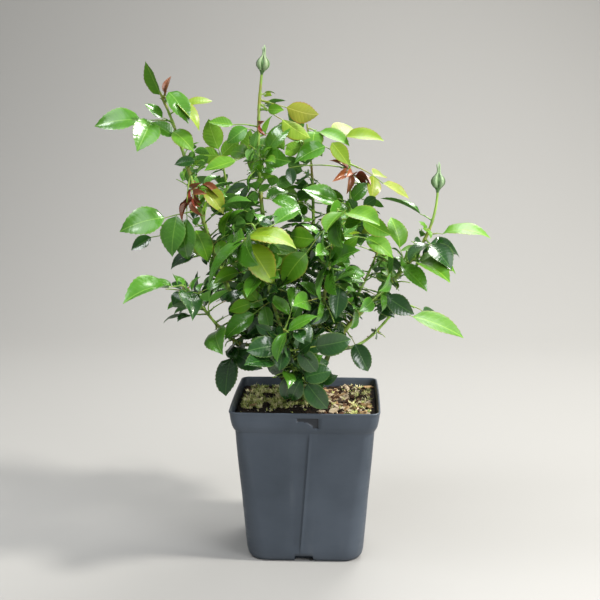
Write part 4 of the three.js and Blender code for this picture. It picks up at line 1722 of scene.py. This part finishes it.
@dataclass
class PottingMix:
    """The compost in the pot, with bark chips, moss, straw and grit on it."""

    bottom: float = 6.2
    lower: tuple = ((6.2, 74.5, 21), (40, 83.2, 24), (120, 89.2, 18), (190, 94.2, 13), (204, 98.6, 11.5))
    level: float = 212.0
    half: float = 100.2
    corner: float = 10.0
    rings: int = 26
    litter_half: float = 86.0
    litter_corner: float = 7.0
    stock_reach: float = 14.0

    def surface(self, x: float, y: float) -> float:
        """Give the height of the compost at a place."""
        fine = noise.noise(Vector((x / 9, y / 9, 3.1))) * 1.6
        broad = noise.noise(Vector((x / 30, y / 30, 8.4))) * 2.2
        heap = 2.5 * math.exp(-(x * x + y * y) / 2600)
        return self.level - 1.2 + (fine + broad) + heap

    def build(self) -> bpy.types.Object:
        """Build the body of compost."""
        pot = SquarePot()
        outline = pot.ring(0, self.half, self.corner)
        rings = [pot.ring(z, half, corner) for z, half, corner in self.lower]
        for ring in range(self.rings, 0, -1):
            share = ring / self.rings
            rings.append([(x * share, y * share, self.surface(x * share, y * share)) for x, y, _ in outline])
        shell = Shell()
        add_tube(shell, rings, ends=[(0, 0, self.bottom), (0, 0, self.surface(0, 0))])
        return show("potting_mix", shell.mesh("potting_mix"), [Peat().material()])

    @staticmethod
    def flake(seed: int, sides: int, thick: float, ragged: float) -> Shape:
        """Make one irregular flake, a closed slab with an uneven outline.

        Args:
            seed: Seed of its outline.
            sides: Corners of its outline.
            thick: Thickness for a length of one.
            ragged: How far its corners stray.

        Returns:
            The flake.
        """
        dice = Dice(seed)
        top, low = [], []
        for angle in round_angles(sides):
            reach = 0.5 * (1 + dice.around(0, ragged))
            x, y = reach * math.cos(angle), reach * math.sin(angle)
            top.append((x * 0.9, y * 0.9, thick * (0.5 + dice.around(0, 0.3))))
            low.append((x, y, -thick * 0.5 + dice.around(0, 0.1) * thick))
        faces = [tuple(range(sides)), tuple(reversed(range(sides, 2 * sides)))]
        faces += [(i, sides + i, sides + (i + 1) % sides, (i + 1) % sides) for i in range(sides)]
        return Shape(np.array(top + low), faces, [0] * len(faces), crisp=True)

    @staticmethod
    def tuft(seed: int) -> Shape:
        """Make one tuft of moss: short pointed blades from one spot."""
        dice = Dice(seed)
        points, faces = [], []
        for _ in range(7):
            angle, lean = dice.next() * 2 * math.pi, dice.around(0.55, 0.4)
            length, width = dice.around(0.75, 0.25), 0.16
            out = np.array([math.cos(angle), math.sin(angle), 0.0])
            side = np.array([-math.sin(angle), math.cos(angle), 0.0])
            base = out * dice.next() * 0.2
            tip = base + out * lean * length + UP * length * 0.8
            first = len(points)
            points += [base - side * width, base + side * width, base + out * width * 1.2 - UP * 0.05, tip]
            faces += [
                (first, first + 2, first + 1), (first, first + 1, first + 3),
                (first + 1, first + 2, first + 3), (first + 2, first, first + 3)
            ]
        return Shape(np.array(points), faces, [0] * len(faces))

    def scatter(
        self, name: str, shapes: Sequence[Shape], finishes: Sequence[Litter], count: int, seed: int,
        size: tuple, where: Callable[[float, float], float], flat: float
    ) -> bpy.types.Object:
        """Strew small shapes over the compost.

        Args:
            name: Name of the piece.
            shapes: The shapes to choose from.
            finishes: The finishes to choose from.
            count: How many places are tried.
            seed: Seed of the strewing.
            size: Smallest and largest length.
            where: Chance that a place is taken.
            flat: How level the shapes lie, from 0 to 1.

        Returns:
            The piece.
        """
        dice = Dice(seed)
        spots = Spots()
        for _ in range(count):
            x, y = dice.around(0, self.half - 7), dice.around(0, self.half - 7)
            chance, length = dice.next(), size[0] + (size[1] - size[0]) * dice.next() ** 2
            tilt = [dice.around(0, 1 - flat) for _ in range(2)]
            turn, wide = dice.next() * 2 * math.pi, dice.around(0.38, 0.18)
            shape, tint = dice.next(), dice.next()
            past = (max(abs(x) - self.litter_half, 0), max(abs(y) - self.litter_half, 0))
            outside = math.hypot(*past) > self.litter_corner
            if chance > where(x, y) or math.hypot(x, y) < self.stock_reach or outside:
                continue
            normal = unit(np.array([tilt[0], tilt[1], 1.0]))
            ahead = np.array([math.cos(turn), math.sin(turn), 0.0])
            ahead = unit(ahead - normal * (ahead @ normal))
            place = np.array([x, y, self.surface(x, y) + length * 0.10])
            width = length * (wide if shapes[0].crisp else 1.6 * wide)
            pick, coat = int(shape * len(shapes)), int(tint * len(finishes))
            spots.add(place, ahead, normal, (length, width, length), pick, coat)
        return repeat(name, shapes, spots, [finish.material() for finish in finishes])

    @staticmethod
    def barky(x: float, y: float) -> float:
        """Give the chance of a bark chip at a place: high on the right."""
        return 0.03 + 0.97 * smooth(8, 34, x)

    @staticmethod
    def mossy(x: float, y: float) -> float:
        """Give the chance of moss at a place: in patches to the left and back."""
        patch = smooth(-0.18, 0.14, noise.noise(Vector((x / 17, y / 17, 5.2))))
        back_left = smooth(-40, -8, y) * (1 - smooth(10, 30, x))
        return patch * max(back_left, 0.5 * smooth(50, 78, x), 0.05)

    @staticmethod
    def anywhere(x: float, y: float) -> float:
        """Give the chance of a crumb or a grain of grit, alike at every place."""
        return 0.8

    def dress(self) -> list:
        """Strew the litter: chips to the right, moss and straw to the left and back."""
        bark = (
            Litter("bark_tan", (142, 108, 70), (206, 176, 132)),
            Litter("bark_brown", (52, 36, 26), (112, 78, 54)),
            Litter("bark_pale", (160, 140, 112), (212, 198, 170)),
            Litter("bark_dark", (34, 26, 20), (72, 54, 40)),
        )
        # The moss and straw colours are their own pale colours, lifted further as painted sunlight on the
        # compost.
        moss = (
            Litter("moss_green", (184, 190, 104), (232, 236, 160)),
            Litter("straw_pale", (206, 196, 132), (246, 240, 196)),
            Litter("moss_deep", (104, 118, 52), (160, 172, 92)),
        )
        grit = (Litter("grit_pale", (150, 146, 138), (214, 210, 200), 0.6, 300.0),)
        crumb = (
            Litter("peat_crumb", (26, 20, 15), (66, 50, 36)), Litter("peat_black", (16, 12, 10), (40, 31, 24))
        )
        flakes = [self.flake(seed, 7, 0.16, 0.35) for seed in (3, 17, 29, 43)]
        crumbs = [self.flake(seed, 6, 0.6, 0.3) for seed in (7, 19, 31)]
        tufts = [self.tuft(seed) for seed in (11, 23, 37)]
        return [
            self.scatter("bark_chips", flakes, bark, 900, 421, (7, 22), self.barky, 0.45),
            self.scatter("moss_tufts", tufts, moss, 5200, 977, (3.5, 10.5), self.mossy, 0.4),
            self.scatter("peat_crumbs", crumbs, crumb, 1500, 1553, (1.6, 4.2), self.anywhere, 0.2),
            self.scatter("grit", crumbs, grit, 110, 2203, (1.6, 3.0), self.anywhere, 0.2),
        ]


# Stems


@dataclass
class StemUnion:
    """The knobbly stock at soil level that the canes leave."""

    sides: int = 40
    rows: int = 22
    lump: float = 0.13
    furrow: float = 0.05

    def build(self) -> bpy.types.Object:
        """Build the union with its lumps and bark furrows."""
        base = RULE.soil + RULE.clearance
        profile = (
            (0.0, 1.0), (0.12, 0.93), (0.25, 0.86), (0.5, 0.97), (0.68, 0.88), (0.82, 0.72), (0.93, 0.5),
            (1.0, 0.2)
        )
        shares, widths = zip(*profile)
        rings = []
        for level in range(self.rows + 1):
            share = level / self.rows
            width = float(np.interp(share, shares, widths)) * RULE.union_radius
            ring = []
            for angle in round_angles(self.sides):
                lump = noise.noise(Vector((math.cos(angle) * 1.6, math.sin(angle) * 1.6, share * 2.2)))
                furrow = noise.noise(Vector((math.cos(angle) * 7, math.sin(angle) * 7, share * 2.0 + 5)))
                reach = width * (1 + self.lump * lump + self.furrow * furrow)
                ring.append(
                    (reach * math.cos(angle), reach * math.sin(angle), base + share * RULE.union_height)
                )
            rings.append(ring)
        shell = Shell()
        add_tube(shell, rings)
        return show("stem_stock", shell.mesh("stem_stock"), [OLD_BARK.material()])


@dataclass
class Cane:
    """The bare part of one shoot, with bark relief and swollen nodes."""

    shoot: Shoot
    sides: int = 14
    pitch: float = 2.6
    old_share: float = 0.45
    node_swell: float = 0.10
    node_pitch: float = 24.0
    furrow: float = 0.07

    def build(self, carried_by_union: bool) -> bpy.types.Object:
        """Build the cane from inside what carries it to its mass of leaves.

        Args:
            carried_by_union: Whether it leaves the union, whose bark it then has low down.

        Returns:
            The cane.
        """
        shoot = self.shoot
        last = shoot.bare + 0.01
        length = shoot.pace(shoot.bare / 2) * last
        steps = max(8, int(length / self.pitch))
        rings = []
        for level in range(steps + 1):
            t = last * level / steps
            run = t * length / last
            flare = 0.45 * math.exp(-run / 9.0) if carried_by_union else 0.25 * math.exp(-run / 5.0)
            node = self.node_swell * max(0.0, math.cos(run / self.node_pitch * 2 * math.pi)) ** 12
            ring = section(shoot.along(t), shoot.heading(max(t, 0.011)), 1.0, self.sides)
            centre = shoot.along(t)
            points = []
            for angle, spoke in zip(round_angles(self.sides), ring - centre):
                spot = (math.cos(angle) * 3, math.sin(angle) * 3, run / 12 + shoot.seed)
                furrow = noise.noise(Vector(spot))
                relief = 1 + flare + node + self.furrow * furrow
                points.append(centre + spoke * shoot.thickness(t) * relief)
            rings.append(points)
        shell = Shell()
        add_tube(shell, rings)
        mesh = shell.mesh(f"{shoot.name}_bare_cane")
        aged = carried_by_union and shoot.radius[0] > 3.5
        finishes = [(OLD_BARK if aged else CANE_SKIN).material(), CANE_SKIN.material()]
        limit = steps * (self.old_share * last) / last
        marks = [0 if number // self.sides < limit else 1 for number in range(len(mesh.polygons))]
        mesh.polygons.foreach_set("material_index", marks)
        return show(f"{shoot.name}_bare_cane", mesh, finishes)


def prickle() -> Shape:
    """Make one prickle: a broad foot that hooks down to a point."""
    points = []
    for x, width, rise in ((0.0, 0.42, 0.0), (0.28, 0.22, 0.02), (0.62, 0.10, -0.06), (0.9, 0.035, -0.2)):
        for angle in (0, math.pi / 2, math.pi, 3 * math.pi / 2):
            points.append((x, 0.55 * width * math.cos(angle), rise + width * 1.25 * math.sin(angle)))
    points.append((1.0, 0.0, -0.28))
    faces = [(3, 2, 1, 0)] + between(4, 4)
    faces += [(12 + i, 12 + (i + 1) % 4, 16) for i in range(4)]
    return Shape(np.array(points), faces, [0] * len(faces))


@dataclass
class Prickles:
    """The prickles along all the canes."""

    sides: int = 24
    first: float = 0.03
    last: float = 0.88
    length: float = 4.6
    pitch: float = 0.042
    taper: float = 0.45
    depth: float = 0.82

    def build(self, bush: Bush) -> bpy.types.Object:
        """Set prickles up each shoot by a seeded rule."""
        spots = Spots()
        for shoot in bush.shoots:
            dice = Dice(shoot.seed * Stream.PRICKLES)
            t = shoot.start + self.first
            while t < self.last:
                direction = shoot.heading(t)
                ring = section(np.zeros(3), direction, 1.0, self.sides)
                out = ring[int(dice.next() * self.sides) % self.sides]
                size = dice.around(self.length, 1.3) * (1 - self.taper * t)
                place = shoot.along(t) + out * shoot.thickness(t) * self.depth
                spots.add(place, out, direction, (size, size, size), 0, 0)
                t += dice.around(self.pitch, 0.022)
        return repeat("prickles", [prickle()], spots, [PRICKLE_SKIN.material()])


# Leaves


@dataclass(frozen=True)
class BladeForm:
    """How one kind of leaflet departs from the plain blade, for a length of one."""

    teeth: int = 10
    fold: float = 0.10
    bend: float = 0.10
    arch: float = 0.0
    camber: float = 0.02
    slim: float = 0.88
    wave: float = 0.0
    twist: float = 0.0
    round_tip: float = 0.0
    side_bend: float = 0.0

    def half_width(self, s: float) -> float:
        """Give half the blade's width at a share of its length."""
        stations = (0.0, 0.05, 0.14, 0.28, 0.44, 0.60, 0.75, 0.87, 0.95, 1.0)
        pointed = (0.012, 0.13, 0.235, 0.325, 0.36, 0.325, 0.235, 0.125, 0.045, 0.0)
        rounded = (0.012, 0.16, 0.265, 0.345, 0.37, 0.36, 0.305, 0.205, 0.105, 0.0)
        width = np.interp(s, stations, pointed) * (1 - self.round_tip)
        width += np.interp(s, stations, rounded) * self.round_tip
        return float(width) * self.slim

    def lay(self, s: float, y: float) -> tuple[float, float, float]:
        """Give the place of a point of the blade.

        Args:
            s: Share of the length.
            y: Distance from the midrib.

        Returns:
            The point with the blade's fold, bend, camber, wave and twist.
        """
        away = abs(y) / 0.36
        z = self.fold * 0.72 * away * (1 - 0.35 * s) - self.bend * s * s + self.arch * 4 * s * (1 - s)
        z += self.camber * math.sin(math.pi * min(away, 1.0))
        z += self.wave * away * away * math.sin(2 * math.pi * (1.7 * s + (0.2 if y > 0 else 0.55)))
        turn = self.twist * s
        across = y * math.cos(turn) - z * math.sin(turn) + self.side_bend * s * s
        return s, across, y * math.sin(turn) + z * math.cos(turn)

    def shape(self) -> Shape:
        """Make the closed, toothed blade."""
        points, places, faces, under, rim = [], [], [], [], []

        def put(s: float, y: float, lift: float) -> int:
            """Add one point."""
            x, across, z = self.lay(s, y)
            points.append((x, across, z + lift))
            places.append((s, 0.5 + y))
            rim.append(min(abs(y) / max(self.half_width(s), 0.02), 1.0))
            return len(points) - 1

        def face(corners: Sequence[int], side: int, low: int) -> None:
            """Add one face, turned to its side."""
            ordered = list(corners) if side * (1 - 2 * low) > 0 else list(reversed(corners))
            faces.append(tuple(ordered))
            under.append(low)

        count = self.teeth
        stations = [0.02 + 0.98 * (k / count) ** 0.92 for k in range(count + 1)]
        half = 0.006
        base, tip = put(0.0, 0.0, 0.0), put(1.0, 0.0, 0.0)
        top, low = ([base] + [put(s, 0.0, lift) for s in stations[1:-1]] + [tip] for lift in (half, -half))
        for side in (-1, 1):
            inner = [base] + [put(s, side * 0.55 * self.half_width(s), half) for s in stations[1:-1]] + [tip]
            notch = [base] + [put(s, side * self.half_width(s) * 0.965, 0.0) for s in stations[1:-1]] + [tip]
            tooth = []
            for a, b in zip(stations[:-1], stations[1:-1]):
                reach = self.half_width(a + 0.72 * (b - a)) * 1.01 + 0.0045
                tooth.append(put(a + 0.82 * (b - a), side * reach, 0.0))
            for k in range(count):
                if k == 0:
                    face((base, top[1], inner[1]), side, 0)
                    face((base, inner[1], notch[1]), side, 0)
                    face((base, notch[1], tooth[0]), side, 0)
                    face((base, low[1], notch[1]), side, 1)
                    face((base, notch[1], tooth[0]), side, 1)
                elif k == count - 1:
                    face((top[k], tip, inner[k]), side, 0)
                    face((inner[k], tip, notch[k]), side, 0)
                    face((low[k], tip, notch[k]), side, 1)
                else:
                    face((top[k], top[k + 1], inner[k + 1], inner[k]), side, 0)
                    face((inner[k], inner[k + 1], tooth[k], notch[k]), side, 0)
                    face((inner[k + 1], notch[k + 1], tooth[k]), side, 0)
                    face((low[k], low[k + 1], tooth[k], notch[k]), side, 1)
                    face((low[k + 1], notch[k + 1], tooth[k]), side, 1)
        return Shape(np.array(points), faces, under, np.array(places), rim)


def stipule() -> Shape:
    """Make the pair of narrow wings at the foot of a leaf stalk."""
    points, faces, under, places = [], [], [], []
    for side in (-1, 1):
        first = len(points)
        outline = [(0.0, 0.0), (0.08, 0.13), (0.55, 0.11), (0.82, 0.13), (1.0, 0.24), (0.9, 0.06)]
        for lift in (0.012, -0.012):
            points += [(x, side * y, 0.10 * y / 0.13 + lift) for x, y in outline]
            places += [(x, 0.5 + side * y) for x, y in outline]
        count = len(outline)
        top = tuple(range(first, first + count))
        low = tuple(range(first + count, first + 2 * count))
        around = [(top[i], low[i], low[(i + 1) % count], top[(i + 1) % count]) for i in range(count)]
        new = [tuple(reversed(top)), low] + [tuple(reversed(face)) for face in around]
        if side > 0:
            new = [tuple(reversed(face)) for face in new]
        faces += new
        under += [0, 1] + [0] * count
    return Shape(np.array(points), faces, under, np.array(places))


FORMS = (
    BladeForm(arch=0.03),
    BladeForm(fold=0.18, bend=0.05, arch=0.05, camber=0.03),
    BladeForm(fold=0.05, bend=0.16, arch=0.10, camber=0.045, wave=0.016, slim=0.94),
    BladeForm(fold=0.14, bend=0.12, arch=0.04, camber=0.02, twist=0.45),
    BladeForm(fold=0.10, bend=0.12, arch=0.08, camber=0.03, twist=-0.45, wave=0.02),
    BladeForm(fold=0.26, bend=0.16, arch=0.07, camber=0.02, side_bend=0.07, slim=0.84),
    BladeForm(fold=0.02, bend=0.22, arch=0.12, camber=0.06, wave=0.01, slim=0.92),
    BladeForm(fold=0.20, bend=0.02, arch=0.0, camber=0.02, wave=0.024, slim=0.82),
    BladeForm(fold=0.06, bend=0.10, arch=0.05, camber=0.05, round_tip=1.0, slim=0.98),
    BladeForm(fold=0.12, bend=0.14, arch=0.05, camber=0.03, round_tip=0.9, wave=0.014, slim=0.94),
)
POINTED, ROUND = 8, 2
YOUNG_FORM = BladeForm(teeth=8, fold=0.55, bend=0.30, arch=0.05, camber=0.0, side_bend=0.04, slim=0.66)


@dataclass
class LeafMass:
    """The mass of leaves on the end of one shoot: its stem, stalks, leaflets and bud."""

    shoot: Shoot
    leaves: list
    uppers: list
    unders: list

    def stalks(self, finish: bpy.types.Material) -> bpy.types.Object:
        """Draw the stem and every leaf stalk.

        Args:
            finish: Skin of the young stems.

        Returns:
            The stalks as one piece.
        """
        shoot = self.shoot
        stations = np.linspace(shoot.bare - 0.004, 1.0, 60)
        nodes = np.array([leaf.foot for leaf in self.leaves])
        line = np.array([shoot.along(t) for t in stations])
        nearest = [np.linalg.norm(nodes - p, axis=1).min() for p in line]
        swell = np.array([0.22 * math.exp(-(distance / 2.6) ** 2) for distance in nearest])
        paths = [(line, np.array([shoot.thickness(t) for t in stations]) * (1 + swell))]
        for leaf in self.leaves:
            shares = np.linspace(0, 1, 7)
            centre = [self.on_stalk(leaf, s) for s in shares]
            slim = 0.72 if leaf.stalk < 34 else 0.9
            flare = 0.5 * np.exp(-shares * leaf.stalk / 3.0)
            paths.append((np.array(centre), slim * (1.25 - 0.55 * shares + flare)))
            for leaflet, share in zip(leaf.leaflets, leaf.shares):
                if share < 1:
                    foot = self.on_stalk(leaf, share)
                    paths.append((np.array([foot, foot + leaflet.ahead * 2.2]), np.array([0.62, 0.5])))
        return tubes(f"{shoot.name}_stalks", paths, 8, finish)

    @staticmethod
    def on_stalk(leaf: Leaf, share: float) -> Array:
        """Give a point of a leaf stalk, which bows a little between its ends."""
        bow = 0.055 * leaf.stalk * 4 * share * (1 - share)
        return leaf.foot + leaf.ahead * leaf.stalk * share + leaf.normal * bow

    def blades(self) -> bpy.types.Object:
        """Set every leaflet and stipule."""
        dice = Dice(self.shoot.seed * Stream.BLADES)
        spots = Spots()
        stipules = len(FORMS) + 1
        for leaf in self.leaves:
            tint = leaf.tint.value
            spots.add(leaf.foot + leaf.ahead * 1.5, leaf.ahead, leaf.normal, (13, 13, 13), stipules, tint)
            for leaflet, share in zip(leaf.leaflets, leaf.shares):
                foot = self.on_stalk(leaf, share) if share < 1 else leaflet.base
                young = leaf.tint is Tint.BRONZE
                low = leaflet.base[2] < 335
                if low and dice.next() < 0.7:
                    number = POINTED + int(dice.next() * ROUND)
                else:
                    number = int(dice.next() * POINTED)
                number = len(FORMS) if young else number
                wide = leaflet.length * dice.around(0.97, 0.07) * (0.8 if young else 1.0)
                gap = 1.6 if share < 1 else 0.4
                start, size = foot + leaflet.ahead * gap, leaflet.length - gap
                stray = 1.0 if share < 1 else 0.2 if leaf.leading else 0.6
                pitch = math.radians(dice.around(-3, 14) * stray)
                roll = math.radians(dice.around(0, 26) * stray)
                ahead = leaflet.ahead * math.cos(pitch) + leaflet.normal * math.sin(pitch)
                normal = leaflet.normal * math.cos(pitch) - leaflet.ahead * math.sin(pitch)
                normal = normal * math.cos(roll) + np.cross(ahead, normal) * math.sin(roll)
                spots.add(start, ahead, normal, (size, wide, size), number, tint, dice.next())
        shapes = [form.shape() for form in FORMS] + [YOUNG_FORM.shape(), stipule()]
        return repeat(f"{self.shoot.name}_blades", shapes, spots, self.uppers, self.unders)


@dataclass
class RoseBud:
    """A closed bud on the tip of a shoot: hip, body and five sepals drawn to a point."""

    shoot: Shoot
    sides: int = 30

    def build(self) -> bpy.types.Object:
        """Build the bud and its sepals as one piece."""
        shell = Shell()
        height, radius = RULE.bud_height, RULE.bud_radius
        profile = (
            (-5, 1.9), (-3, 2.2), (-1, 3.0), (0.3, 4.0), (1.2, 4.3), (2.0, 4.4),
            (3.6, 0.66 * radius), (5.6, 0.85 * radius), (8, 0.97 * radius), (11, 0.98 * radius),
            (14, 0.88 * radius), (16.6, 0.67 * radius), (19, 0.42 * radius),
            (height, 0.24 * radius), (height + 2, 0.15 * radius), (height + 4, 0.7),
        )
        rings = []
        for rise, width in profile:
            ring = []
            for angle in round_angles(self.sides):
                rib = 1 + 0.035 * math.cos(5 * angle) * smooth(1, 8, rise)
                ring.append((width * rib * math.cos(angle), width * rib * math.sin(angle), rise))
            rings.append(ring)
        add_tube(shell, rings, 0)
        for number in range(5):
            top = RULE.bud_sepals + height + (1.5 if number % 2 else -1.5)
            self.sepal(shell, 2 * math.pi * number / 5 + 0.3, top, number)
        direction = Vector(self.shoot.heading(0.99))
        turn = Vector((0, 0, 1)).rotation_difference(direction)
        foot = Vector(self.shoot.along(1.0))
        shell.points = [tuple(turn @ Vector(p) + foot) for p in shell.points]
        finishes = [BUD_SKIN.material(), SEPAL_SKIN.material()]
        return show(f"{self.shoot.name}_flower_bud", shell.mesh("flower_bud"), finishes)

    def sepal(self, shell: Shell, bearing: float, top: float, number: int) -> None:
        """Lay one sepal over the bud, with its tail drawn out above.

        Args:
            shell: The mesh that it is added to.
            bearing: Angle around the bud.
            top: Height of its tip.
            number: Its number, which sets how its tail leans.
        """
        radius = RULE.bud_radius
        rises = (1.4, 3.6, 7, 11, 14.5, 17.5, 20, 22.5, 26, 29, top)
        widths = (0.55, 0.52, 0.47, 0.44, 0.45, 0.48, 0.55, 0.7, 0.7, 0.5, 0.15)
        bodies = (
            4.4, 0.69 * radius, 0.95 * radius, radius, 0.87 * radius, 0.62 * radius, 0.36 * radius,
            0.2 * radius, 1.5, 1.1 + 0.5 * (number % 3), 0.9 + 1.1 * (number % 3)
        )
        rings = []
        for rise, share, body in zip(rises, widths, bodies):
            reach = body + 0.35
            left, right = bearing - share, bearing + share
            ring = [
                (reach * math.cos(right), reach * math.sin(right), rise),
                ((reach + 0.75) * math.cos(bearing), (reach + 0.75) * math.sin(bearing), rise),
                (reach * math.cos(left), reach * math.sin(left), rise),
                ((reach - 0.55) * math.cos(bearing), (reach - 0.55) * math.sin(bearing), rise),
            ]
            rings.append(list(reversed(ring)))
        add_tube(shell, rings, 1)


# The studio


@dataclass
class Studio:
    """A plain pale floor that sweeps up behind, soft light and the camera."""

    lens: float = 66.0

    def sweep(self) -> bpy.types.Object:
        """Build the floor and backdrop as one bent sheet."""
        bend, back, top, half = 1.2, 2.6, 4.0, 7.0
        angles = np.linspace(0, math.pi / 2, 24)
        line = [(back - bend + bend * math.sin(a), bend - bend * math.cos(a)) for a in angles]
        line = [(-4.0, 0.0), *line, (back, top)]
        points = [(x, y, z) for y, z in line for x in (-half, half)]
        faces = [(2 * i, 2 * i + 1, 2 * i + 3, 2 * i + 2) for i in range(len(line) - 1)]
        shell = Shell()
        shell.add(points, faces)
        bench = Bench("studio_paper", 0.9, 0.1)
        bench.shader.inputs["Base Color"].default_value = (0.335, 0.33, 0.32, 1)
        floor = show("studio_floor", shell.mesh("studio_floor", 1.0), [bench.material])
        return floor

    def light(self) -> None:
        """Hang a large soft key on the right, a fill in front and a pale room."""
        for name, place, size, power, colour in (
            ("key", (2.10, -0.50, 2.75), 0.45, 128.0, (1.0, 0.97, 0.90)),
            ("back", (0.60, 1.45, 2.30), 1.4, 66.0, (1.0, 0.99, 0.96)),
            ("sky", (-0.6, -1.2, 2.9), 2.2, 32.0, (0.95, 0.98, 1.0)),
            ("fill", (0.75, -0.8, 0.6), 0.6, 8.5, (0.98, 0.98, 1.0)),
            ("glint", (-1.2, -0.4, 2.1), 0.7, 15.0, (0.97, 0.98, 1.0)),
        ):
            lamp = bpy.data.lights.new(name, "AREA")
            lamp.shape, lamp.size, lamp.energy, lamp.color = "DISK", size, power, colour
            holder = bpy.data.objects.new(name, lamp)
            aim = Vector((0, 0, 0.35)) - Vector(place)
            holder.location = place
            holder.rotation_euler = aim.to_track_quat("-Z", "Y").to_euler()
            holder.visible_camera = False
            bpy.context.scene.collection.objects.link(holder)
        world = bpy.data.worlds.new("room")
        world.use_nodes = True
        world.node_tree.nodes["Background"].inputs[0].default_value = (0.94, 0.97, 1.0, 1)
        world.node_tree.nodes["Background"].inputs[1].default_value = 0.30
        bpy.context.scene.world = world
        bpy.context.scene.view_settings.view_transform = "Standard"

    def camera(self) -> None:
        """Set the camera at the photograph's viewing angle."""
        data = bpy.data.cameras.new("view")
        data.lens, data.sensor_width = self.lens, 36.0
        holder = bpy.data.objects.new("view", data)
        holder.location = Vector(FRONT) * MM
        holder.rotation_euler = Vector(VIEW.look()).to_track_quat("-Z", "Y").to_euler()
        bpy.context.scene.collection.objects.link(holder)
        bpy.context.scene.camera = holder


def main() -> None:
    """Build the pot, the compost and the bush, and light them."""
    logging.basicConfig(level=logging.INFO, format="%(message)s")
    studio = Studio()
    studio.camera()
    studio.sweep()
    studio.light()

    hand_over(SquarePot().build(), "pot_plastic", "pot")
    mix = PottingMix()
    hand_over(mix.build(), "compost_mix", "compost")
    for piece in mix.dress():
        hand_over(piece, "compost_mix")

    bush = Bush()
    bush.lay_canes()
    bush.grow()
    bush.fill(count=26, leaflet=44.0)
    bush.fill(count=64, leaflet=34.0, last=0.8, gap=-2.0)
    bush.fill(count=30, leaflet=28.0)
    LOG.info("%d leaflets", sum(len(leaf.leaflets) for leaves in bush.leaves.values() for leaf in leaves))
    hand_over(StemUnion().build(), "old_bark", "stem_union")
    skin = YOUNG_SKIN.material()
    uppers = [UPPER[tint].material() for tint in Tint]
    unders = [UNDER[tint].material() for tint in Tint]
    for shoot in bush.shoots:
        hand_over(Cane(shoot).build(shoot.parent is None), "cane_bark", f"{shoot.name}_cane")
        mass = LeafMass(shoot, bush.leaves[shoot.name], uppers, unders)
        hand_over(mass.stalks(skin), "cane_bark")
        hand_over(mass.blades(), "foliage", f"{shoot.name}_leaves")
        if shoot.bud:
            hand_over(RoseBud(shoot).build(), "foliage")
    hand_over(Prickles().build(bush), "cane_bark")


if __name__ == "__main__":
    main()
